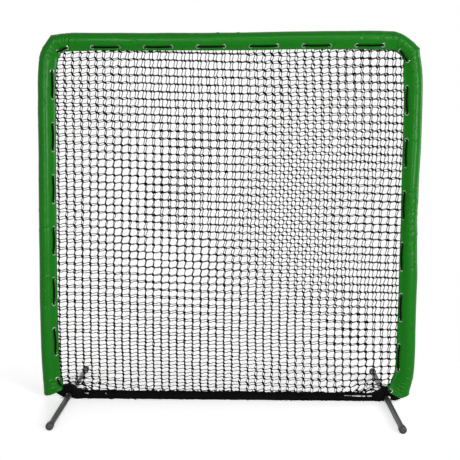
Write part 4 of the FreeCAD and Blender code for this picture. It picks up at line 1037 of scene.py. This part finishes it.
# %% Two nets, out of step
FRONT_ASIDE = (
    (56, 51, 49, 45, 41, 38, 42, 51, 57),
    (62, 62, 64, 66, 70, 69, 74, 79, 83),
    (60, 60, 65, 71, 78, 84, 91, 96, 98),
    (56, 57, 63, 72, 81, 92, 103, 108, 108),
    (54, 56, 61, 69, 79, 89, 101, 106, 106),
    (44, 47, 49, 54, 62, 73, 85, 93, 96),
    (39, 43, 45, 45, 51, 59, 70, 79, 84),
    (37, 41, 44, 43, 47, 54, 63, 73, 77),
    (47, 50, 50, 47, 49, 58, 70, 80, 83))
FRONT_DOWN = (
    (2, -17, -20, -11, 1, 18, 35, 37, 44),
    (-23, -26, -22, -11, 0, 17, 37, 45, 53),
    (-43, -33, -27, -15, 1, 22, 43, 52, 65),
    (-56, -43, -34, -19, 1, 26, 47, 57, 75),
    (-66, -51, -40, -21, 1, 25, 45, 59, 83),
    (-68, -54, -39, -21, -2, 19, 38, 59, 84),
    (-66, -51, -35, -21, -5, 15, 36, 58, 74),
    (-66, -52, -39, -28, -11, 11, 37, 58, 65),
    (-53, -49, -41, -36, -18, 14, 43, 61, 62))
REAR_ASIDE = (
    (41, 27, 15, 5, 6, 14, 24, 32, 26),
    (38, 33, 30, 29, 35, 42, 49, 56, 50),
    (49, 46, 43, 47, 51, 54, 59, 61, 57),
    (49, 50, 47, 45, 48, 49, 46, 44, 39),
    (42, 44, 42, 40, 44, 43, 35, 31, 25),
    (43, 43, 45, 47, 48, 48, 43, 36, 30),
    (39, 39, 43, 47, 50, 53, 57, 53, 43),
    (39, 40, 41, 41, 47, 57, 67, 66, 53),
    (48, 52, 50, 46, 55, 74, 90, 88, 69))
REAR_DOWN = (
    (58, 65, 74, 91, 103, 93, 73, 57, 55),
    (34, 54, 76, 95, 106, 97, 80, 69, 71),
    (22, 49, 76, 100, 109, 98, 83, 76, 84),
    (9, 46, 76, 99, 105, 94, 80, 74, 85),
    (-1, 37, 71, 93, 98, 92, 76, 72, 84),
    (4, 25, 55, 80, 89, 87, 78, 72, 79),
    (6, 17, 38, 62, 72, 75, 76, 76, 76),
    (-3, 5, 17, 39, 55, 63, 72, 76, 70),
    (-15, -5, 5, 18, 35, 51, 68, 75, 62))
DRIFT_ACROSS = (-960 * MM, 960 * MM)
DRIFT_LEVEL = (2010 * MM, 130 * MM)


def drift(*tables):
    """A function that gives the drift aside and down, in meshes, at places on the net."""
    def shift(across, level):
        found = []
        for table in tables:
            table = np.array(table) / 100
            spots = []
            for place, (first, last) in ((level, DRIFT_LEVEL), (across, DRIFT_ACROSS)):
                spot = np.clip((place - first) / (last - first), 0, 1) * (len(table) - 1)
                whole = np.minimum(spot.astype(int), len(table) - 2)
                spots.append((whole, spot - whole))
            (above, t), (left, s) = spots
            upper = table[above, left] * (1 - s) + table[above, left + 1] * s
            lower = table[above + 1, left] * (1 - s) + table[above + 1, left + 1] * s
            found.append(upper * (1 - t) + lower * t)
        return found
    return shift


net("net_front_twine", 11, drift(FRONT_ASIDE, FRONT_DOWN), -1.9 * MM, "net_front")
net("net_rear_twine", 57, drift(REAR_ASIDE, REAR_DOWN), 1.9 * MM, "net_rear")

# %% [markdown]
# Along the foot the nets are wound round the bottom rail and laced on. Close up this is a dark
# jacket of crossing cords with a bundle of spare net on top. So it is built in three layers: a
# thin jacket that hides the steel, wavy cords and knots on it, and a lacing wound round all.
# Here and there the jacket gapes along its front, and the zinc shows through.

# %% The jacket on the bottom rail
HEM_SPAN = 857 * MM
JACKET_SPAN = 874 * MM
JACKET = 20.3 * MM
GAPES = ((-905, -889), (-856, -832), (-732, -727), (694, 733, 0.6), (741, 817), (828, 857))
GAPE_TURN, GAPE_HALF = 42, 14


def on_rail(across, degrees, radius):
    """Points round the bottom rail: 0 degrees is its front and 90 its top."""
    turn = np.radians(degrees)
    level = np.maximum(RAIL_LEVEL + np.sin(turn) * radius, radius - JACKET + 1.2 * MM)
    return np.stack(np.broadcast_arrays(across, -np.cos(turn) * radius, level), axis=-1)


def make_jacket():
    across = np.arange(-JACKET_SPAN, JACKET_SPAN, 5 * MM)
    degrees = np.linspace(-176, 180, 90)
    bumps = 0.5 * MM * spread(71, (len(across), len(degrees)), 2)
    grid = on_rail(across[:, None], degrees[None], JACKET + np.abs(bumps) * 0.8)
    quads = grid_faces(*grid.shape[:2])
    wobble = spread(72, (len(across) - 1,), 2) * 1.5
    gape = np.zeros(quads.shape[:2], bool)
    for first, last, *share in GAPES:
        near = (across[:-1] > first * MM) & (across[:-1] < last * MM)
        half = GAPE_HALF * (share[0] if share else 1)
        gape |= near[:, None] & (np.abs(degrees[None, :-1] - GAPE_TURN - wobble[:, None]) < half)
    piece = piece_of("net_hem_jacket", (grid.reshape(-1, 3), [quads[~gape]]), TWINE)
    cloth = piece.modifiers.new("cloth", "SOLIDIFY")
    cloth.thickness = 0.8 * MM
    cloth.offset = -1
    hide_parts("net_hem_front")


make_jacket()

# %% [markdown]
# On the jacket lie the cords that the eye takes for wound net. Each wanders a little round the
# rail, so that no two run side by side for long. Above them a loose bundle of spare net rests on
# the rail, and small knots are strewn over both. A random number with a fixed seed places them.

# %% Cords, knots and spare net on the rail
HEM_STEPS = 180
CORD_RADIUS, BUNDLE_RADIUS = 1.7 * MM, 2.0 * MM
FRONT_CORDS = (12, -8, -24, -40, 66, 80, 96)
REAR_CORDS = (112, 150, 200, -70)
BUNDLE_CORDS = 8
HEM_KNOTS, BUNDLE_KNOTS = (300, 320), 240
LOOSE_KNOTS = ((-700, -48), (-693, -40), (-686, -52), (-556, -50), (-549, -44))


def wavy_cords(seed, turns, swing, radius, size):
    """Cords along the rail that wander round it, each about its own turn in degrees."""
    across = np.linspace(-HEM_SPAN, HEM_SPAN, HEM_STEPS)
    shapes = []
    for number, turn in enumerate(turns):
        wander = (spread(seed + number, (HEM_STEPS,), 5) * swing
                  + spread(seed + 50 + number, (HEM_STEPS,), 1) * 3)
        lift = radius + np.abs(spread(seed + 100 + number, (HEM_STEPS,), 3)) * 1.2 * MM
        shapes.append(tubes(on_rail(across, turn + wander, lift), size, 5))
    return shapes


def short_knots(centres, seed, half, radius, tilt=-0.8):
    """Small slanted barrels."""
    random = np.random.default_rng(seed)
    angle = tilt + random.normal(size=len(centres)) * 0.5
    axis = unit(np.stack([np.cos(angle), random.normal(size=len(centres)) * 0.4, np.sin(angle)],
                         axis=1))
    steps, radii = np.array(KNOT_SHAPE).T
    size = random.uniform(0.8, 1.2, len(centres))[:, None]
    paths = centres[:, None] + axis[:, None] * steps[:, None] * half * size[..., None]
    return tubes(paths, radii * radius * size, 6)


def make_hem_cords():
    random = np.random.default_rng(83)
    shapes = wavy_cords(200, FRONT_CORDS, 6, JACKET + 1.6 * MM, CORD_RADIUS)
    shapes += wavy_cords(400, REAR_CORDS, 10, JACKET + 1.0 * MM, CORD_RADIUS)
    across = np.linspace(-HEM_SPAN, HEM_SPAN, HEM_STEPS)
    for number in range(BUNDLE_CORDS):
        depth = random.uniform(-9, 9) * MM + spread(310 + number, (HEM_STEPS,), 3) * 2.5 * MM
        level = RAIL_LEVEL + random.uniform(22, 27) * MM
        level = level + spread(330 + number, (HEM_STEPS,), 2) * 2.2 * MM
        shapes.append(tubes(np.stack([across, depth, level], axis=1), BUNDLE_RADIUS, 5))
    low, high = HEM_KNOTS
    aside = random.uniform(-HEM_SPAN, HEM_SPAN, low + high)
    turns = np.concatenate([random.uniform(-60, 30, low), random.uniform(60, 130, high)])
    shapes.append(short_knots(on_rail(aside, turns, JACKET + 1.5 * MM), 84, 5 * MM, 2.9 * MM))
    aside = random.uniform(-HEM_SPAN, HEM_SPAN, BUNDLE_KNOTS)
    bundle = np.stack([aside, random.uniform(-10, 10, BUNDLE_KNOTS) * MM,
                       RAIL_LEVEL + random.uniform(20, 30, BUNDLE_KNOTS) * MM], axis=1)
    shapes.append(short_knots(bundle, 85, 7 * MM, 3.8 * MM))
    loose = [on_rail(np.array([place * MM]), degrees, 25 * MM)[0] for place, degrees in LOOSE_KNOTS]
    shapes.append(short_knots(np.array(loose), 86, 8 * MM, 4.5 * MM))
    piece = piece_of("net_hem_twine", joined(shapes), TWINE)
    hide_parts("net_hem_rear")


make_hem_cords()

# %% [markdown]
# The lacing that holds the nets on the rail is one cord in a long screw line. Two more cords are
# drawn along the front. They have the lace's slightly glossy material, so they glint on the dark
# jacket.

# %% The hem's lacing
LACING_HALF = 830 * MM
LACING_PITCH = 72 * MM
LACING_RADIUS, DRAWN_RADIUS = 1.75 * MM, 1.5 * MM
DRAWN_CORDS = ((93, 20), (94, 58))


def make_hem_lacing():
    """The lacing wound round the rail, and two cords drawn along its front."""
    across = np.arange(-LACING_HALF, LACING_HALF, 3 * MM)
    wander = spread(91, (len(across),), 6) * 22
    turns = across / LACING_PITCH * 360 + wander
    lift = JACKET + 3.6 * MM + spread(92, (len(across),), 4) * 0.5 * MM
    shapes = [tubes(on_rail(across, turns, lift), LACING_RADIUS, 6)]
    for seed, middle in DRAWN_CORDS:
        line = on_rail(across, middle + spread(seed, (len(across),), 8) * 6, JACKET + 3.4 * MM)
        shapes.append(tubes(line, DRAWN_RADIUS, 6))
    lacing = piece_of("hem_lacing_cord", joined(shapes), CORD)
    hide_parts("hem_lacing")


make_hem_lacing()

# %% [markdown]
# At each bottom corner the net is too long for the frame, so the spare is bunched up and bound.
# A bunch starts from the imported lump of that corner, which a remesh modifier cuts into an even
# skin. Noise of three sizes crumples it. It is pressed flat under the sleeve's foot and kept back
# where the leg starts.

# %% A crumpled lump for each corner
BUNCH_STRANDS = 130
BUNCH_KNOTS = 110
LEG_ACROSS, LEG_CLEAR, LEG_TOP = 947 * MM, 24 * MM, 48 * MM
LUMP_VOXEL = 3.5 * MM
CRUMPLES = ((2.6, 42), (1.9, 105), (1.0, 220))
TAIL_FROM, TAIL_TOP, TAIL_STRETCH = 940 * MM, 50 * MM, 0.38


def under_sleeve(across, level):
    """Whether a place in the net's plane is covered by a sleeve's foot."""
    if across < 0:
        hem = np.interp(across / MM, *np.array(FOOT_CUT).T) * MM
        along = level - FOOT_BEND
        return HALF_WIDTH + across < np.interp(along, *FLAP_REACH) + 4 * MM and level > hem - 2 * MM
    aside, down = across - BEND_ACROSS, FOOT_BEND - level
    radius = math.hypot(aside, down)
    turn = math.degrees(math.atan2(down, aside))
    edge = BEND - np.interp(foot_turn(turn), *FLAP_REACH)
    return radius > edge and turn < np.interp(radius / MM, *np.array(FOOT_SLANT).T) + 1.5


def crumpled(node_name):
    """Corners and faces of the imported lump, cut evenly and crumpled."""
    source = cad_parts[node_name]
    mesh = source.data.copy()
    lump = bpy.data.objects.new("lump", mesh)
    lump.matrix_world = source.matrix_world.copy()
    bpy.context.scene.collection.objects.link(lump)
    even = lump.modifiers.new("even", "REMESH")
    even.mode = "VOXEL"
    even.voxel_size = LUMP_VOXEL
    done = lump.evaluated_get(bpy.context.evaluated_depsgraph_get())
    result = bpy.data.meshes.new_from_object(done)
    points = []
    for corner in result.vertices:
        place = lump.matrix_world @ corner.co
        away = corner.normal
        push = 0.0
        for size, often in CRUMPLES:
            push += size * noise.noise(place * often)
        place = place + away * (push * MM)
        near_leg = max(0.0, 1 - abs(abs(place.x) - LEG_ACROSS) / LEG_CLEAR)
        if place.y < 0 and place.z < LEG_TOP and near_leg > 0:
            place.y = max(place.y, -12 * MM - (1 - near_leg) * 16 * MM)
        if place.x > TAIL_FROM and place.z < TAIL_TOP:
            place.x += (place.x - TAIL_FROM) * TAIL_STRETCH
        if under_sleeve(place.x, place.z):
            place.y = max(-1.6 * MM, min(1.6 * MM, place.y))
        points.append((place.x, place.y, max(place.z, 1.5 * MM)))
    faces = [tuple(face.vertices) for face in result.polygons]
    bpy.data.objects.remove(lump)
    return np.array(points), faces


# %% [markdown]
# Strands of net creep over the lump. Each starts somewhere on it, takes a step, drops back on the
# nearest place of the surface, and turns a little. A search tree finds the nearest place quickly.
# Blender's vector noise starts from the clock, so it gets a seed to be the same in every run.

# %% Bunched net in the corners
noise.seed_set(5)


def creeping(tree, starts, ways, steps, stride, lift):
    """Lines that creep over a surface from each start."""
    lines = []
    for start, way in zip(starts, ways):
        place, line = Vector(start), []
        way = Vector(way)
        for _ in range(steps):
            found, normal, _, _ = tree.find_nearest(place + way * stride)
            way = (way * 0.8 + (found - place).normalized() * 0.2
                   + noise.noise_vector(place * 60) * 0.5).normalized()
            place = found
            line.append(found + normal * lift)
        lines.append(line)
    return np.array(lines)


def make_bunch(node_name, name, seed):
    """One corner's bunch: the crumpled lump, its strands and its knots."""
    points, faces = crumpled(node_name)
    tree = BVHTree.FromPolygons([Vector(point) for point in points], faces)
    random = np.random.default_rng(seed)
    starts = points[random.integers(0, len(points), BUNCH_STRANDS)]
    ways = unit(random.normal(size=(BUNCH_STRANDS, 3)) * (1, 0.5, 0.8))
    lines = creeping(tree, starts, ways, steps=12, stride=6 * MM, lift=1.0 * MM)
    lines[..., 2] = np.maximum(lines[..., 2], 2.4 * MM)
    knots = points[random.integers(0, len(points), BUNCH_KNOTS)]
    knots = knots[[not under_sleeve(x, z) for x, _, z in knots]]
    knots[:, 2] = np.maximum(knots[:, 2], 9 * MM)
    four = [face for face in faces if len(face) == 4]
    shapes = [(points, [np.array(four)]), tubes(lines, radius=1.8 * MM, sides=5),
              short_knots(knots, seed + 1, half=7 * MM, radius=3.6 * MM)]
    piece = piece_of(name, joined(shapes), TWINE)
    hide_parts(node_name)


make_bunch("corner_gather_left", "net_bunch_left", 101)
make_bunch("corner_gather_right", "net_bunch_right", 131)

# %% [markdown]
# The rubber caps are cups with a moulded, rounded end and a small rolled lip. They are turned
# like the real mould was, from a profile of radii and distances from the outer end.

# %% Moulded leg caps
CAP_PROFILE = ((0.5, 0), (5, 0.2), (9, 0.7), (13, 1.7), (16.5, 3.2), (19.2, 5.4), (20.9, 8.2),
               (21.5, 11.5), (21.5, 39), (21.3, 42.4), (20.4, 44.2), (18.8, 45), (16.6, 44.9),
               (16.0, 44), (16.0, 40))
for name in ("cap_front_left", "cap_front_right", "cap_rear_left", "cap_rear_right"):
    low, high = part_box(name)
    side = -1 if low.y < 0 else 1
    outer = np.array([(low.x + high.x) / 2, side * LEG_REACH, (low.z + high.z) / 2])
    profile = [(radius * MM, reach * MM) for radius, reach in CAP_PROFILE]
    cap = piece_of(name + "_moulded", lathe(outer, (0, -side, 0), profile, 40), RUBBER)
    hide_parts(name)

# %% [markdown]
# The studio. The main light is a tall softbox on the right, so each sleeve is darker on its left
# side. A narrow beam beside the camera draws the highlight on the left sleeve, a flat softbox
# above does so on the top, and two more light the right side and the rear. The white behind comes
# from the world's colour for the camera, not from more light. The floor looks white in the same
# way: only rays that come from the camera, straight or by way of metal or glass, see its glow. So
# the glow lights nothing, and the shadows stay.

# %% Light, floor and white surroundings
AMBIENT = 0.15
# Name, middle, aim, width, height, watts and spread in degrees of each softbox
SOFTBOXES = (("left_softbox", (-1.3, -6.4, 1.8), (-0.9, 0, 1.0), 1.0, 2.6, 20, 70),
             ("right_softbox", (3.3, -5.5, 1.9), (-0.2, 0, 1.0), 1.2, 2.8, 228, 180),
             ("top_softbox", (0.8, -3.6, 3.9), (0.5, 0, 1.4), 1.8, 0.3, 28, 180),
             ("side_softbox", (4.8, 0.9, 1.7), (1.07, 0, 1.3), 0.5, 2.2, 40, 180),
             ("rear_softbox", (-2.4, 5.6, 2.6), (0, 0, 1.0), 1.6, 2.0, 110, 180))


def seen_rays(tree):
    """One for rays that look at the background: from the camera, or by way of metal or glass."""
    path = add_node(tree, "ShaderNodeLightPath").outputs
    seen = add_node(tree, "ShaderNodeMath", {"operation": "MAXIMUM"},
                    {0: path["Is Camera Ray"], 1: path["Is Glossy Ray"]}).outputs[0]
    return add_node(tree, "ShaderNodeMath", {"operation": "MAXIMUM"},
                    {0: seen, 1: path["Is Transmission Ray"]}).outputs[0]


def make_world():
    world = bpy.data.worlds.new("white_studio")
    bpy.context.scene.world = world
    world.use_nodes = True
    tree = world.node_tree
    tree.nodes.clear()
    seen = seen_rays(tree)
    light = add_node(tree, "ShaderNodeBackground", {"Strength": AMBIENT, "Color": (1, 1, 1, 1)})
    white = add_node(tree, "ShaderNodeBackground", {"Strength": 1.0, "Color": (1, 1, 1, 1)})
    mixed = add_node(tree, "ShaderNodeMixShader", {}, {0: seen, 1: light.outputs[0],
                                                       2: white.outputs[0]})
    add_node(tree, "ShaderNodeOutputWorld", {}, {"Surface": mixed.outputs[0]})


def add_softbox(name, place, aim, width, height, watts, spread_angle):
    light = bpy.data.lights.new(name, "AREA")
    light.shape = "RECTANGLE"
    light.size, light.size_y = width, height
    light.energy = watts
    light.spread = math.radians(spread_angle)
    lamp = bpy.data.objects.new(name, light)
    bpy.context.scene.collection.objects.link(lamp)
    facing = (Vector(aim) - Vector(place)).to_track_quat("-Z", "Y").to_matrix().to_4x4()
    lamp.matrix_world = Matrix.Translation(place) @ facing


FLOOR_HALF = 30.0
FADE_START, FADE_END = 0.7, 1.3
GLOW = 0.56


def make_floor():
    """A floor that looks white by its own glow, keeps the shadows, and fades to pure white."""
    material, tree, shader, place = start_material("white_painted_floor", {
        "Base Color": srgb("#FBFBFB"), "Roughness": 0.9, "Specular IOR Level": 0.0})
    squeezed = add_node(tree, "ShaderNodeVectorMath", {"operation": "MULTIPLY", 1: (0.6, 1, 1)},
                        {0: place}).outputs["Vector"]
    away = add_node(tree, "ShaderNodeVectorMath", {"operation": "LENGTH"},
                    {0: squeezed}).outputs["Value"]
    far = add_node(tree, "ShaderNodeMapRange", {"From Min": FADE_START, "From Max": FADE_END},
                   {"Value": away}).outputs["Result"]
    seen = seen_rays(tree)
    fade = add_node(tree, "ShaderNodeMath", {"operation": "MULTIPLY"}, {0: far, 1: seen})
    glow = add_node(tree, "ShaderNodeMath", {"operation": "MULTIPLY", 1: GLOW}, {0: seen})
    glow = add_node(tree, "ShaderNodeEmission", {"Color": (1, 1, 1, 1)},
                    {"Strength": glow.outputs[0]})
    lit = add_node(tree, "ShaderNodeAddShader", {}, {0: shader.outputs[0], 1: glow.outputs[0]})
    white = add_node(tree, "ShaderNodeEmission", {"Color": (1, 1, 1, 1), "Strength": 1.0})
    mixed = add_node(tree, "ShaderNodeMixShader", {}, {0: fade.outputs[0], 1: lit.outputs[0],
                                                       2: white.outputs[0]})
    tree.links.new(mixed.outputs[0], tree.nodes["Material Output"].inputs["Surface"])
    corners = [(x * FLOOR_HALF, y * FLOOR_HALF, 0) for x, y in ((-1, -1), (1, -1), (1, 1), (-1, 1))]
    mesh = bpy.data.meshes.new("floor")
    mesh.from_pydata(corners, [], [(0, 1, 2, 3)])
    mesh.materials.append(material)
    floor = bpy.data.objects.new("floor", mesh)
    bpy.context.scene.collection.objects.link(floor)


make_world()
for softbox in SOFTBOXES:
    add_softbox(*softbox)
make_floor()
print("softboxes:", len(SOFTBOXES))

# %% [markdown]
# The camera stands at head height, about five and a half metres in front, a hand's breadth right
# of the middle, and looks a little down. Its place was worked out from the edges and the eyelets
# in the picture.

# %% Camera
CAMERA_PLACE = Vector((0.0791, -5.4896, 1.6494))
CAMERA_YAW = math.radians(-0.728)
CAMERA_PITCH = math.radians(6.519)
CAMERA_ROLL = math.radians(0.326)
FOCAL_PIXELS = 942.2
IMAGE_PIXELS = 460
SENSOR = 36.0


def make_camera():
    right = Vector((math.cos(CAMERA_YAW), -math.sin(CAMERA_YAW), 0))
    ahead = Vector((math.sin(CAMERA_YAW) * math.cos(CAMERA_PITCH),
                    math.cos(CAMERA_YAW) * math.cos(CAMERA_PITCH), -math.sin(CAMERA_PITCH)))
    up = right.cross(ahead)
    rolled = right * math.cos(CAMERA_ROLL) + up * math.sin(CAMERA_ROLL)
    upright = up * math.cos(CAMERA_ROLL) - right * math.sin(CAMERA_ROLL)
    data = bpy.data.cameras.new("camera")
    data.sensor_width = SENSOR
    data.lens = FOCAL_PIXELS / IMAGE_PIXELS * SENSOR
    camera = bpy.data.objects.new("camera", data)
    bpy.context.scene.collection.objects.link(camera)
    axes = Matrix((rolled, upright, -ahead)).transposed().to_4x4()
    camera.matrix_world = Matrix.Translation(CAMERA_PLACE) @ axes
    bpy.context.scene.camera = camera


make_camera()
bpy.context.scene.view_settings.view_transform = "Standard"
print("camera:", [round(value, 2) for value in CAMERA_PLACE])
